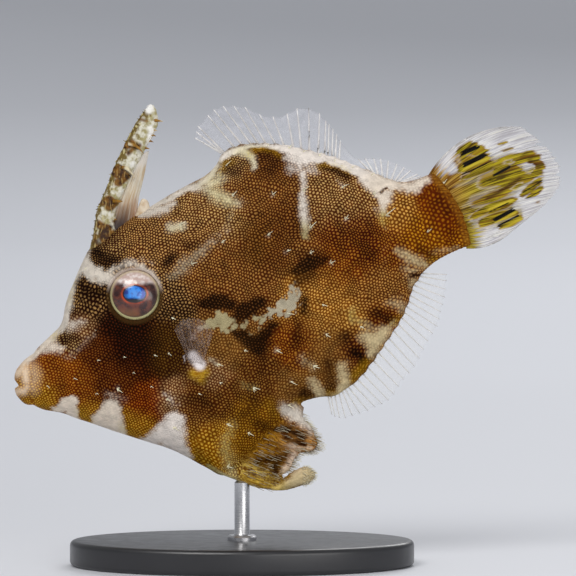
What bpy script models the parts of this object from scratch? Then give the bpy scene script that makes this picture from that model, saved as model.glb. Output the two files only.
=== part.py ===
# Bristle-tailed filefish, a life-size museum model 90 mm long, held head-down on a plain stand.
# The fish swims with its snout towards -X, its left side towards -Y and its back towards +Z.
# It is symmetric about Y = 0 apart from the sweep of its soft fins. The origin is the middle
# of the underside of the stand's base. Lengths below are millimetres; the meshes are in metres.

import math
import random

import bmesh
import bpy
from mathutils import Matrix, Vector

MM = 0.001
GAP = 0.3

# Body: each row is one slanted ring (top x, top z, bottom x, bottom z, half width).
# The rings fan out from the snout, because the belly drops away faster than the back rises.
BODY_RINGS = [
    (-35.6, 30.0, -35.6, 27.6, 0.9),
    (-35.2, 30.9, -35.3, 26.7, 1.8),
    (-34.4, 31.7, -34.6, 26.0, 2.5),
    (-33.3, 32.8, -33.6, 25.2, 2.8),
    (-32.7, 33.1, -32.6, 25.2, 2.5),
    (-31.5, 34.6, -30.8, 24.4, 3.2),
    (-29.9, 36.2, -28.3, 24.0, 3.8),
    (-28.3, 37.9, -24.9, 22.7, 4.4),
    (-27.5, 41.2, -19.6, 20.9, 5.2),
    (-26.4, 44.1, -14.9, 19.4, 5.8),
    (-24.8, 47.8, -10.3, 17.8, 6.3),
    (-23.4, 50.1, -5.8, 15.4, 6.3),
    (-20.2, 52.3, -3.1, 14.1, 6.3),
    (-17.1, 54.5, -0.6, 15.0, 6.1),
    (-12.8, 57.2, 3.1, 18.6, 5.9),
    (-8.6, 59.6, 6.7, 22.8, 5.6),
    (-5.8, 61.0, 9.1, 25.4, 5.4),
    (-3.9, 62.9, 11.6, 26.3, 5.2),
    (-3.0, 64.6, 14.6, 26.8, 5.0),
    (0.5, 65.9, 17.2, 28.2, 4.8),
    (5.9, 65.9, 19.6, 30.9, 4.5),
    (10.6, 64.9, 22.2, 34.6, 4.2),
    (15.3, 63.6, 24.6, 38.2, 3.8),
    (19.2, 62.1, 25.9, 41.0, 3.3),
    (22.4, 60.7, 26.8, 43.8, 3.0),
    (24.7, 60.0, 28.5, 46.0, 2.7),
    (26.9, 60.4, 30.8, 48.0, 2.3),
    (29.0, 61.2, 33.8, 49.5, 1.9),
    (30.0, 61.4, 35.8, 50.2, 1.5),
]
HEAD_END = 13.45
TRUNK_END = 25.0
PEDUNCLE_END = len(BODY_RINGS) - 1.0
AROUND_BODY = 28
RINGS_EACH_STEP = 2
UPPER_FULLNESS = 0.14
KEEL_AT_SNOUT = 0.95
KEEL_AT_BODY = 1.2
TAIL_BULGE = 1.3
TAIL_BULGE_RINGS = 1.6

# Head: eyes, the rims of their sockets, nostrils, gill slits and the cleft between the lips.
EYE_CENTRE = (-16.6, 4.05, 42.4)
EYE_RADIUS = 4.2
EYE_HALF_DEPTH = 2.6
EYE_TILT = math.radians(9)
SOCKET_RIM_RADIUS = 4.65
SOCKET_RIM_THICKNESS = 0.5
SOCKET_RIM_OUT = 1.3
NOSTRILS = [(-22.8, 3.6, 45.0), (-22.2, 4.3, 43.1)]
NOSTRIL_RADIUS = 0.42
GILL_SLIT_TOP = (-8.5, 5.95, 36.2)
GILL_SLIT_BOTTOM = (-9.3, 6.1, 32.6)
GILL_SLIT_WIDTH = 0.45
GILL_SLIT_DEPTH = 1.0
# The mouth in side view: (x, z, height) where it opens between the lips, narrows and ends.
MOUTH_STEPS = [(-36.2, 28.7, 3.2), (-34.4, 28.25, 0.5), (-32.6, 28.35, 0.25)]
FIN_LOBE_CENTRE = (-6.8, 5.7, 30.4)
FIN_LOBE_HALF = (1.35, 1.05, 1.75)

# First dorsal spine: (front x, front z, rear x, rear z, half width) from its root to its tip.
SPINE_RINGS = [
    (-23.5, 50.6, -19.9, 53.0, 1.15),
    (-23.1, 53.0, -19.8, 54.2, 1.1),
    (-22.7, 55.6, -19.6, 56.0, 1.05),
    (-21.9, 57.6, -18.9, 57.4, 1.0),
    (-20.9, 60.0, -18.0, 59.4, 0.95),
    (-20.0, 62.4, -17.0, 61.6, 0.9),
    (-18.8, 65.0, -15.7, 64.1, 0.85),
    (-17.3, 68.0, -14.2, 66.7, 0.8),
    (-16.1, 70.0, -13.2, 68.9, 0.65),
    (-15.1, 71.4, -13.2, 70.7, 0.45),
    (-14.4, 72.2, -13.8, 72.1, 0.2),
]
SECOND_SPINE_RINGS = [
    (-16.4, 55.35, -14.5, 56.55, 0.6),
    (-16.2, 56.0, -14.5, 56.8, 0.55),
    (-16.0, 56.8, -14.8, 57.2, 0.4),
    (-15.8, 57.4, -15.4, 57.5, 0.2),
]
# The web behind the spine: its front edge beside the spine and its free rear edge, root to top.
SPINE_WEB_FRONT = [
    (-19.4, 53.4),
    (-19.15, 55.9),
    (-18.4, 57.7),
    (-17.5, 59.6),
    (-16.45, 61.8),
    (-15.2, 64.3),
]
SPINE_WEB_REAR = [
    (-17.0, 54.9),
    (-16.5, 57.2),
    (-15.9, 59.3),
    (-15.4, 61.4),
    (-15.0, 63.0),
    (-14.6, 64.6),
]

# Barbs, by their place up the spine from 0 at its root to 1 at its tip, and how far each leans out.
REAR_BARBS = 10
REAR_BARB_PLACES = (0.2, 0.92)
REAR_BARB_LENGTHS = (0.55, 0.95)
REAR_BARB_DROOP = (-0.75, -0.2)
WEB_TOP_PLACE = 0.66
LEAN_BESIDE_WEB = 1.6
LEAN_ABOVE_WEB = (0.25, 0.6)
FRONT_BARBS = 10
FRONT_BARB_PLACES = (0.12, 0.78)
FRONT_BARB_LENGTHS = (0.3, 0.5)
FRONT_BARB_DROOP = (-0.5, 0.1)
BARB_THICKNESS = 0.55
BARB_ROOT = 0.45
BARB_TIP_RADIUS = 0.08
SPINE_SEED = 4

# Soft fins: the line of the ray roots, the line of the ray tips as (x, y, z), and the ray count.
DORSAL_BASE = [
    (-3.2, 65.2),
    (0.5, 66.35),
    (5.9, 66.4),
    (10.7, 65.3),
    (15.4, 64.1),
    (19.3, 62.65),
    (22.5, 61.25),
    (24.3, 60.5),
]
DORSAL_TIPS = [
    (-7.4, -0.5, 67.0),
    (-6.6, -0.9, 69.2),
    (-3.8, -1.2, 71.7),
    (0.0, -1.0, 71.9),
    (3.4, -0.4, 70.5),
    (6.2, 0.2, 70.5),
    (9.0, 0.4, 71.8),
    (11.6, 0.2, 71.2),
    (13.9, 1.2, 68.8),
    (15.8, 3.6, 66.0),
    (17.8, 4.8, 63.8),
    (20.0, 4.4, 63.8),
    (22.3, 3.2, 63.6),
    (25.4, 1.6, 62.4),
    (28.0, 0.3, 61.0),
]
DORSAL_RAYS = 30
ANAL_BASE = [
    (14.0, 26.3),
    (15.6, 26.8),
    (17.4, 27.9),
    (19.9, 30.6),
    (22.5, 34.4),
    (24.9, 38.0),
    (26.2, 40.8),
    (27.1, 43.6),
    (28.4, 45.5),
]
ANAL_TIPS = [
    (14.1, 0.2, 23.6),
    (15.6, 0.6, 23.0),
    (18.2, 1.0, 23.6),
    (21.0, 0.9, 24.8),
    (23.4, 0.2, 26.2),
    (25.2, -0.6, 29.0),
    (27.2, -1.1, 31.4),
    (28.8, -0.9, 34.6),
    (30.5, -0.3, 37.4),
    (31.3, 0.4, 40.0),
    (31.9, 0.7, 42.8),
    (32.1, 0.5, 45.6),
]
ANAL_RAYS = 27
TAIL_TIPS = [
    (40.8, 0.0, 68.7),
    (43.8, 0.3, 68.6),
    (46.4, 0.5, 66.7),
    (48.4, 0.6, 64.7),
    (49.8, 0.5, 62.5),
    (49.9, 0.3, 60.4),
    (49.2, 0.0, 58.6),
    (47.9, -0.3, 57.1),
    (46.3, -0.5, 55.6),
    (44.4, -0.5, 54.1),
    (42.4, -0.3, 52.6),
]
TAIL_RAYS = 12
TAIL_FORK_START = 0.45
TAIL_BOW_UPPER = 1.7
TAIL_BOW_LOWER = -0.9
PECTORAL_BASE = [(-7.9, 6.6, 32.6), (-7.0, 6.9, 32.7), (-6.1, 6.8, 32.5)]
PECTORAL_TIPS = [
    (-10.4, 7.6, 37.4),
    (-9.3, 8.3, 38.9),
    (-7.4, 8.7, 39.3),
    (-5.4, 8.5, 38.6),
    (-4.3, 8.1, 37.0),
]
PECTORAL_RAYS = 11
MEMBRANE_HALF = 0.26
RAY_HALF = 0.42
TIP_HALF = 0.22
RIDGE_REACH = 0.1
FORK_SPREAD = 0.34
WEB_NOTCH = 0.12

# Ventral flap: its inner edge along the belly, its free rear margin and the pelvic bone below it.
FLAP_SEAM = [
    (9.5, 25.0),
    (7.15, 22.6),
    (3.55, 18.4),
    (1.65, 16.35),
    (-0.3, 14.65),
    (-1.5, 14.05),
    (-2.7, 13.6),
]
FLAP_MARGIN = [
    (9.7, 24.8),
    (9.6, 23.2),
    (10.8, 21.9),
    (11.6, 20.2),
    (11.9, 18.9),
    (11.0, 18.0),
    (9.2, 17.7),
    (8.1, 16.6),
    (7.5, 15.2),
    (6.2, 14.1),
    (6.0, 13.0),
    (6.0, 11.8),
]
PELVIS_LINE = [(-2.7, 13.6), (-0.3, 12.9), (2.0, 12.2), (4.4, 11.8), (6.0, 11.8)]
FLAP_HALF_AT_SEAM = 0.9
FLAP_HALF_AT_MARGIN = 0.3
PELVIS_HALF = 1.1
FLAP_COLUMNS = 14
FLAP_ROWS = 14
FLAP_RIDGE = 0.14
FLAP_BRISTLES = 18
FRINGE = (0.06, 0.5)
BRISTLE_SINK = 0.3
BRISTLE_LENGTHS = (0.45, 0.9)
BRISTLE_THICKNESS = 0.5
FLAP_SEED = 11
RUDIMENT_SPINULES = 8
SPINULE_PLACES = (0.45, 0.9)
SPINULE_LENGTH = 0.35
RUDIMENT_SEED = 5
RUDIMENT_RINGS = [
    (6.4, 13.5, 6.4, 11.7, 0.9),
    (7.9, 14.7, 7.6, 11.9, 0.95),
    (9.2, 15.3, 9.2, 12.4, 0.9),
    (10.2, 15.4, 10.5, 12.9, 0.75),
    (10.9, 15.0, 11.3, 13.7, 0.5),
    (11.3, 14.6, 11.5, 14.2, 0.25),
]

# Colours read from the photographed animal, as linear red, green and blue.
HEAD_BROWN = (0.30, 0.15, 0.06)
TRUNK_BROWN = (0.32, 0.17, 0.07)
STALK_GOLD = (0.42, 0.20, 0.03)
FLAP_TAN = (0.45, 0.30, 0.12)
BONE_CREAM = (0.80, 0.70, 0.52)
SPINE_OLIVE = (0.40, 0.28, 0.10)
WEB_PINK = (0.75, 0.68, 0.55)
CLEAR_GREY = (0.80, 0.80, 0.78)
TAIL_YELLOW = (0.75, 0.68, 0.35)
EYE_MAROON = (0.22, 0.06, 0.02)
STAND_BLACK = (0.04, 0.04, 0.045)
ROD_STEEL = (0.60, 0.60, 0.62)

# Display stand.
BASE_HALF_LENGTH = 27.0
BASE_HALF_WIDTH = 17.0
BASE_HEIGHT = 4.0
BASE_BEVEL = 0.8
ROD_RADIUS = 1.2
ROD_TOP_FRONT = 12.85
ROD_TOP_REAR = 11.95


def clear_scene():
    for item in list(bpy.data.objects):
        bpy.data.objects.remove(item, do_unlink=True)


def add_material(thing, colour, roughness):
    material = bpy.data.materials.new(thing.name + "_finish")
    material.use_nodes = True
    shader = material.node_tree.nodes["Principled BSDF"]
    shader.inputs["Base Color"].default_value = (*colour, 1.0)
    shader.inputs["Roughness"].default_value = roughness
    thing.data.materials.append(material)


def add_object(name, bm, colour, roughness=0.5):
    """Turns a bmesh into a named object with its own material, shaded smooth."""
    mesh = bpy.data.meshes.new(name)
    bm.to_mesh(mesh)
    bm.free()
    mesh.shade_smooth()
    mesh.set_sharp_from_angle(angle=math.radians(40))
    thing = bpy.data.objects.new(name, mesh)
    bpy.context.scene.collection.objects.link(thing)
    add_material(thing, colour, roughness)
    return thing


def along(rows, place):
    """The row at a place from 0 to the last row, on a smooth curve through all the rows."""
    last = len(rows) - 1
    place = min(max(place, 0.0), float(last))
    start = min(int(place), last - 1)
    t = place - start
    before, first = rows[max(start - 1, 0)], rows[start]
    second, after = rows[start + 1], rows[min(start + 2, last)]
    values = []
    for a, b, c, d in zip(before, first, second, after):
        bend = (2 * a - 5 * b + 4 * c - d) * t * t + (3 * b - a - 3 * c + d) * t ** 3
        values.append(0.5 * (2 * b + (c - a) * t + bend))
    return values


def share(rows, fraction):
    return along(rows, fraction * (len(rows) - 1))


def ring_points(row, around, keel, bulge=0.0, shift=0.0):
    """Points round one slanted ring. keel over 1 sharpens the top and bottom edges."""
    top = Vector((row[0], 0, row[1]))
    bottom = Vector((row[2], 0, row[3]))
    forward = Vector((bottom.z - top.z, 0, top.x - bottom.x)).normalized()
    points = []
    for number in range(around):
        turn = 2 * math.pi * number / around
        height = math.cos(turn)
        across = math.sin(turn)
        width = row[4] * abs(across) ** keel * (1 + UPPER_FULLNESS * height)
        point = top.lerp(bottom, (1 - height) / 2)
        point = point - forward * (bulge * across * across + shift)
        points.append(point + Vector((0, math.copysign(width, across), 0)))
    return points


def skin_rings(rings):
    """A closed mesh through rings with equal numbers of points, with both ends capped."""
    around = len(rings[0])
    bm = bmesh.new()
    grid = bmesh.ops.create_grid(bm, x_segments=around, y_segments=len(rings) - 1, size=0.5)
    for vert in grid["verts"]:
        column = round((vert.co.x + 0.5) * around) % around
        level = round((vert.co.y + 0.5) * (len(rings) - 1))
        vert.co = rings[level][column] * MM
    bmesh.ops.remove_doubles(bm, verts=bm.verts[:], dist=1e-6)
    for ring in (rings[0], rings[-1]):
        cap_ring(bm, ring)
    bmesh.ops.triangulate(bm, faces=bm.faces[:])
    bmesh.ops.recalc_face_normals(bm, faces=bm.faces[:])
    return bm


def cap_ring(bm, ring):
    """Closes an end with strips that join the left side of the ring to the right."""
    found = []
    for point in ring:
        found.append(min(bm.verts, key=lambda vert: (vert.co - point * MM).length_squared))
    half = len(ring) // 2
    for number in range(half):
        corners = [found[number], found[number + 1], found[-number - 1], found[-number % len(ring)]]
        distinct = list(dict.fromkeys(corners))
        bm.faces.new(distinct)


def keel_at(place):
    blend = min(place / 10.0, 1.0)
    return KEEL_AT_SNOUT + (KEEL_AT_BODY - KEEL_AT_SNOUT) * blend


def tail_bulge_at(place):
    reach = max(0.0, place - (PEDUNCLE_END - TAIL_BULGE_RINGS)) / TAIL_BULGE_RINGS
    return TAIL_BULGE * reach


def body_length(name, first, last, colour):
    """One length of the body between two ring places, parted from the next by half the gap."""
    steps = math.ceil((last - first) * RINGS_EACH_STEP)
    rings = []
    for step in range(steps + 1):
        place = first + (last - first) * step / steps
        shift = 0.0
        if step == 0 and first > 0:
            shift = GAP / 2
        if step == steps and last < PEDUNCLE_END:
            shift = -GAP / 2
        row = along(BODY_RINGS, place)
        rings.append(ring_points(row, AROUND_BODY, keel_at(place), tail_bulge_at(place), shift))
    return add_object(name, skin_rings(rings), colour)


def loft(name, rows, around, steps, keel, colour):
    rings = []
    for step in range(steps + 1):
        rings.append(ring_points(share(rows, step / steps), around, keel))
    return add_object(name, skin_rings(rings), colour)


def ellipsoid(name, centre, half, tilt, colour=BONE_CREAM, fineness=20):
    bm = bmesh.new()
    bmesh.ops.create_uvsphere(bm, u_segments=fineness, v_segments=fineness // 2, radius=1.0)
    matrix = Matrix.Translation(Vector(centre) * MM) @ Matrix.Rotation(tilt, 4, "X")
    matrix = matrix @ Matrix.Diagonal((half[0] * MM, half[1] * MM, half[2] * MM, 1.0))
    bmesh.ops.transform(bm, matrix=matrix, verts=bm.verts[:])
    return add_object(name, bm, colour, 0.15)


def ring_tube(name, centre, radius, thickness, tilt):
    """A round rim facing sideways, made by turning a small circle round the eye's axis."""
    bm = bmesh.new()
    circle = bmesh.ops.create_circle(bm, segments=6, radius=thickness * MM)
    bmesh.ops.rotate(bm, cent=(0, 0, 0), matrix=Matrix.Rotation(math.pi / 2, 3, "Z"), verts=circle["verts"])
    bmesh.ops.translate(bm, vec=(radius * MM, 0, 0), verts=circle["verts"])
    bmesh.ops.spin(
        bm,
        geom=bm.verts[:] + bm.edges[:],
        cent=(0, 0, 0),
        axis=(0, 1, 0),
        angle=2 * math.pi,
        steps=28,
        use_merge=True,
    )
    bmesh.ops.remove_doubles(bm, verts=bm.verts[:], dist=1e-6)
    matrix = Matrix.Translation(Vector(centre) * MM) @ Matrix.Rotation(tilt, 4, "X")
    bmesh.ops.transform(bm, matrix=matrix, verts=bm.verts[:])
    bmesh.ops.recalc_face_normals(bm, faces=bm.faces[:])
    return add_object(name, bm, HEAD_BROWN)


def box_between(name, low, high, width, depth):
    """A thin upright bar between two points, for cutting a slit."""
    low, high = Vector(low), Vector(high)
    bm = bmesh.new()
    bmesh.ops.create_cube(bm, size=1.0)
    stretch = Matrix.Diagonal((depth * MM, width * MM, (high - low).length * MM, 1.0))
    turn = (high - low).to_track_quat("Z", "Y").to_matrix().to_4x4()
    matrix = Matrix.Translation((low + high) / 2 * MM) @ turn @ stretch
    bmesh.ops.transform(bm, matrix=matrix, verts=bm.verts[:])
    return add_object(name, bm, HEAD_BROWN)


def mouth_wedge(name, front, rear):
    """A wedge as wide as the snout, between two of the steps of the mouth."""
    bm = bmesh.new()
    bmesh.ops.create_cube(bm, size=1.0)
    for vert in bm.verts:
        x, middle, height = rear if vert.co.x > 0 else front
        z = middle + math.copysign(height / 2, vert.co.z)
        vert.co = Vector((x, vert.co.y * 12, z)) * MM
    return add_object(name, bm, HEAD_BROWN)


def combine(target, others, operation):
    """One Boolean of a whole collection, applied, with the collection's objects then removed."""
    group = bpy.data.collections.new(target.name + "_" + operation.lower())
    bpy.context.scene.collection.children.link(group)
    for other in others:
        bpy.context.scene.collection.objects.unlink(other)
        group.objects.link(other)
    modifier = target.modifiers.new("Boolean", "BOOLEAN")
    modifier.operation = operation
    modifier.operand_type = "COLLECTION"
    modifier.collection = group
    modifier.solver = "EXACT"
    apply_modifiers(target)
    for other in others:
        bpy.data.objects.remove(other, do_unlink=True)
    bpy.data.collections.remove(group)
    keep_largest(target)


def apply_modifiers(thing):
    bpy.context.view_layer.update()
    graph = bpy.context.evaluated_depsgraph_get()
    finished = bpy.data.meshes.new_from_object(thing.evaluated_get(graph))
    thing.modifiers.clear()
    thing.data = finished


def keep_largest(thing):
    """Leaves only the closed surface with the most faces."""
    bm = bmesh.new()
    bm.from_mesh(thing.data)
    unseen = set(bm.verts)
    pieces = []
    while unseen:
        stack = [unseen.pop()]
        piece = list(stack)
        while stack:
            for edge in stack.pop().link_edges:
                for vert in edge.verts:
                    if vert in unseen:
                        unseen.remove(vert)
                        stack.append(vert)
                        piece.append(vert)
        pieces.append(piece)
    pieces.sort(key=len)
    for piece in pieces[:-1]:
        bmesh.ops.delete(bm, geom=piece, context="VERTS")
    bm.to_mesh(thing.data)
    bm.free()


def sheet(name, columns, rows, place, half, colour, roughness=0.35):
    """A thin plate over a grid. place gives each point of its middle, half its half thickness."""
    bm = bmesh.new()
    grid = bmesh.ops.create_grid(bm, x_segments=columns, y_segments=rows, size=0.5)
    spots = []
    for vert in grid["verts"]:
        u = vert.co.x + 0.5
        v = vert.co.y + 0.5
        spots.append((u, v))
        vert.co = Vector(place(u, v)) * MM
    bmesh.ops.triangulate(bm, faces=bm.faces[:])
    bmesh.ops.recalc_face_normals(bm, faces=bm.faces[:])
    thing = add_object(name, bm, colour, roughness)
    group = thing.vertex_groups.new(name="thickness")
    for number, (u, v) in enumerate(spots):
        group.add([number], half(u, v) / 2.0, "REPLACE")
    solidify = thing.modifiers.new("Solidify", "SOLIDIFY")
    solidify.thickness = 4.0 * MM
    solidify.offset = 0.0
    solidify.use_even_offset = False
    solidify.vertex_group = group.name
    return thing


def fan_place(base, tips, curl=2.0, bow=(0.0, 0.0)):
    """Points of a fin: from its base line out to its tip line, rays erect at the root and then swept."""

    def place(u, v):
        root = share(base, u)
        tip = share(tips, u)
        x = root[0] + (tip[0] - root[0]) * v
        z = root[-1] + (tip[2] - root[-1]) * v
        rise = bow[0] + (bow[1] - bow[0]) * u
        length = math.hypot(tip[0] - root[0], tip[2] - root[-1])
        arch = 4 * rise * v * (1 - v) / length
        y = tip[1] * v ** curl
        return (x - (tip[2] - root[-1]) * arch, y, z + (tip[0] - root[0]) * arch)

    return place


def plain_half(u, v):
    return MEMBRANE_HALF + (TIP_HALF - MEMBRANE_HALF) * v


def rayed_half(rays, fork_start=1.0):
    """Half thickness of a membrane with a ridge along each ray, forked beyond fork_start."""

    def half(u, v):
        offset = abs((u * (rays - 1) + 0.5) % 1.0 - 0.5)
        fork = FORK_SPREAD * max(0.0, v - fork_start) / max(1.0 - fork_start, 1e-6)
        ridge = 1.0 if abs(offset - fork) < RIDGE_REACH else 0.0
        thin = plain_half(u, v)
        return thin + (RAY_HALF - MEMBRANE_HALF) * ridge * (1 - 0.5 * v)

    return half


def notched(place, rays):
    """Draws the membrane in between the ray tips, so that each tip stands out a little."""

    def point(u, v):
        offset = abs((u * (rays - 1) + 0.5) % 1.0 - 0.5)
        return place(u, v * (1 - WEB_NOTCH * offset * v))

    return point


def tail_base():
    """The rounded rear edge of the tail stalk, moved out by the gap."""
    points = []
    row = list(BODY_RINGS[-1])
    top = Vector((row[0], row[1]))
    bottom = Vector((row[2], row[3]))
    outward = Vector((top.y - bottom.y, bottom.x - top.x)).normalized()
    for number in range(9):
        height = 1 - 2 * number / 8
        middle = top.lerp(bottom, (1 - height) / 2)
        bulge = TAIL_BULGE * (1 - height * height) + GAP + 0.05
        points.append(tuple(middle + outward * bulge))
    return points


def pectoral_place(side):
    def place(u, v):
        root = share(PECTORAL_BASE, u)
        tip = share(PECTORAL_TIPS, u)
        middle = [r + (t - r) * v for r, t in zip(root, tip)]
        return (middle[0], side * middle[1], middle[2])

    return place


def flap_place(u, v):
    inner = share(FLAP_SEAM, v)
    outer = share(FLAP_MARGIN, v)
    x = inner[0] + (outer[0] - inner[0]) * u
    z = inner[1] + (outer[1] - inner[1]) * u
    low = share(PELVIS_LINE, u)
    corner_in, corner_out = FLAP_SEAM[-1], FLAP_MARGIN[-1]
    sag_x = low[0] - corner_in[0] - (corner_out[0] - corner_in[0]) * u
    sag_z = low[1] - corner_in[1] - (corner_out[1] - corner_in[1]) * u
    return (x + sag_x * v ** 3, 0.0, z + sag_z * v ** 3)


def flap_half(u, v):
    thin = FLAP_HALF_AT_SEAM + (FLAP_HALF_AT_MARGIN - FLAP_HALF_AT_SEAM) * u ** 0.8
    bone = max(0.0, (v - 0.6) / 0.4) ** 2
    ridge = FLAP_RIDGE * (round(v * FLAP_ROWS) % 2) * min(u * 3, 1.0)
    return thin + (PELVIS_HALF - thin) * bone + ridge * (1 - bone)


def spine_web_place(u, v):
    front = share(SPINE_WEB_FRONT, v)
    rear = share(SPINE_WEB_REAR, v)
    return (front[0] + (rear[0] - front[0]) * u, 0.0, front[1] + (rear[1] - front[1]) * u)


def barb(name, root, lean, length, thickness):
    """A tapered point leaning along a direction, with some of its length sunk at the root."""
    bm = bmesh.new()
    bmesh.ops.create_cone(
        bm,
        cap_ends=True,
        segments=5,
        radius1=thickness / 2 * MM,
        radius2=BARB_TIP_RADIUS * MM,
        depth=(length + BARB_ROOT) * MM,
    )
    bmesh.ops.translate(bm, vec=(0, 0, (length - BARB_ROOT) / 2 * MM), verts=bm.verts[:])
    turn = Vector(lean).to_track_quat("Z", "Y").to_matrix().to_4x4()
    bmesh.ops.transform(bm, matrix=Matrix.Translation(Vector(root) * MM) @ turn, verts=bm.verts[:])
    return add_object(name, bm, BONE_CREAM)


def spread(ends, number, count):
    """The place of one of a number of pieces spread evenly between two ends."""
    return ends[0] + (ends[1] - ends[0]) * number / (count - 1)


def spine_barbs():
    """Barbs down the rear of the spine, beside the web and above it, and small ones up its front."""
    draw = random.Random(SPINE_SEED)
    barbs = []
    for number in range(REAR_BARBS):
        place = spread(REAR_BARB_PLACES, number, REAR_BARBS)
        _, _, rear_x, rear_z, half_width = share(SPINE_RINGS, place)
        above_web = place > WEB_TOP_PLACE
        for side in (-1, 1):
            length = draw.uniform(*REAR_BARB_LENGTHS)
            out = side * draw.uniform(*LEAN_ABOVE_WEB) if above_web else side * LEAN_BESIDE_WEB
            inset = 0.1 if above_web else 0.8
            beside = half_width * (0.45 if above_web else 0.8)
            root = (rear_x - inset, side * beside, rear_z)
            lean = (1.0, out, draw.uniform(*REAR_BARB_DROOP))
            barbs.append(barb("barb", root, lean, length, BARB_THICKNESS))
    for number in range(FRONT_BARBS):
        front_x, front_z, _, _, half_width = share(
            SPINE_RINGS, spread(FRONT_BARB_PLACES, number, FRONT_BARBS)
        )
        side = 1 if number % 2 else -1
        root = (front_x + 0.15, side * half_width * 0.3, front_z)
        lean = (-1.0, side * 0.5, draw.uniform(*FRONT_BARB_DROOP))
        length = draw.uniform(*FRONT_BARB_LENGTHS)
        barbs.append(barb("barb", root, lean, length, BARB_THICKNESS))
    return barbs


def flap_bristles():
    """The fringe of spinules along the free rear margin of the ventral flap."""
    draw = random.Random(FLAP_SEED)
    bristles = []
    for number in range(FLAP_BRISTLES):
        v = spread(FRINGE, number, FLAP_BRISTLES)
        edge = Vector(flap_place(1.0, v))
        inner = Vector(flap_place(0.6, v))
        lean = (edge - inner).normalized()
        lean.y = draw.uniform(-0.15, 0.15)
        length = draw.uniform(*BRISTLE_LENGTHS)
        bristles.append(barb("bristle", edge - lean * BRISTLE_SINK, lean, length, BRISTLE_THICKNESS))
    return bristles


def rudiment_spinules():
    """Short stout spinules over the blunt end of the pelvic rudiment."""
    draw = random.Random(RUDIMENT_SEED)
    spinules = []
    for number in range(RUDIMENT_SPINULES):
        place = spread(SPINULE_PLACES, number, RUDIMENT_SPINULES)
        top_x, top_z, bottom_x, bottom_z, half_width = share(RUDIMENT_RINGS, place)
        height = draw.uniform(0.15, 0.85)
        side = 1 if number % 2 else -1
        across = side * half_width * 0.75
        root = (top_x + (bottom_x - top_x) * height, across, top_z + (bottom_z - top_z) * height)
        lean = (1.0, side * 0.7, draw.uniform(-0.2, 0.5))
        spinules.append(barb("spinule", root, lean, SPINULE_LENGTH, BRISTLE_THICKNESS))
    return spinules


def mirrored(centre, side):
    return (centre[0], side * centre[1], centre[2])


def make_head():
    head = body_length("head", 0.0, HEAD_END, HEAD_BROWN)
    raised = []
    cutters = [mouth_wedge("mouth", *pair) for pair in zip(MOUTH_STEPS, MOUTH_STEPS[1:])]
    for side in (-1, 1):
        tilt = side * EYE_TILT
        centre = Vector(mirrored(EYE_CENTRE, side))
        outward = Matrix.Rotation(tilt, 3, "X") @ Vector((0, side, 0))
        rim_centre = centre + outward * SOCKET_RIM_OUT
        raised.append(ring_tube("rim", rim_centre, SOCKET_RIM_RADIUS, SOCKET_RIM_THICKNESS, tilt))
        lobe = mirrored(FIN_LOBE_CENTRE, side)
        raised.append(ellipsoid("lobe", lobe, FIN_LOBE_HALF, 0.0, fineness=16))
        socket = [EYE_RADIUS + GAP, EYE_HALF_DEPTH + GAP, EYE_RADIUS + GAP]
        cutters.append(ellipsoid("socket", centre, socket, tilt))
        for spot in NOSTRILS:
            pit = [NOSTRIL_RADIUS, NOSTRIL_RADIUS * 2, NOSTRIL_RADIUS]
            cutters.append(ellipsoid("nostril", mirrored(spot, side), pit, 0.0, fineness=10))
        low, high = mirrored(GILL_SLIT_BOTTOM, side), mirrored(GILL_SLIT_TOP, side)
        cutters.append(box_between("gill_slit", low, high, GILL_SLIT_WIDTH, GILL_SLIT_DEPTH * 2))
    combine(head, raised, "UNION")
    combine(head, cutters, "DIFFERENCE")


def make_eyes():
    for side, label in ((-1, "eye_left"), (1, "eye_right")):
        half = [EYE_RADIUS, EYE_HALF_DEPTH, EYE_RADIUS]
        ellipsoid(label, mirrored(EYE_CENTRE, side), half, side * EYE_TILT, EYE_MAROON)


def make_body():
    body_length("trunk", HEAD_END, TRUNK_END, TRUNK_BROWN)
    body_length("tail_stalk", TRUNK_END, PEDUNCLE_END, STALK_GOLD)
    flap = sheet("ventral_flap", FLAP_COLUMNS, FLAP_ROWS, flap_place, flap_half, FLAP_TAN)
    combine(flap, flap_bristles(), "UNION")
    rudiment = loft("pelvic_rudiment", RUDIMENT_RINGS, 12, 10, 1.0, BONE_CREAM)
    combine(rudiment, rudiment_spinules(), "UNION")


def make_spines():
    spine = loft("first_dorsal_spine", SPINE_RINGS, 12, 20, 1.0, SPINE_OLIVE)
    combine(spine, spine_barbs(), "UNION")
    loft("second_dorsal_spine", SECOND_SPINE_RINGS, 10, 6, 1.0, BONE_CREAM)
    sheet("spine_membrane", 4, 12, spine_web_place, plain_half, WEB_PINK)


def make_fins():
    place = notched(fan_place(DORSAL_BASE, DORSAL_TIPS), DORSAL_RAYS)
    sheet("soft_dorsal_fin", (DORSAL_RAYS - 1) * 3, 4, place, rayed_half(DORSAL_RAYS), CLEAR_GREY)
    place = notched(fan_place(ANAL_BASE, ANAL_TIPS), ANAL_RAYS)
    sheet("anal_fin", (ANAL_RAYS - 1) * 3, 4, place, rayed_half(ANAL_RAYS), CLEAR_GREY)
    place = fan_place(tail_base(), TAIL_TIPS, 1.2, (TAIL_BOW_UPPER, TAIL_BOW_LOWER))
    place = notched(place, TAIL_RAYS)
    half = rayed_half(TAIL_RAYS, TAIL_FORK_START)
    sheet("tail_fin", (TAIL_RAYS - 1) * 6, 7, place, half, TAIL_YELLOW)
    for side, label in ((-1, "pectoral_fin_left"), (1, "pectoral_fin_right")):
        place = notched(pectoral_place(side), PECTORAL_RAYS)
        sheet(label, (PECTORAL_RAYS - 1) * 3, 3, place, rayed_half(PECTORAL_RAYS), CLEAR_GREY)


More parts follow.
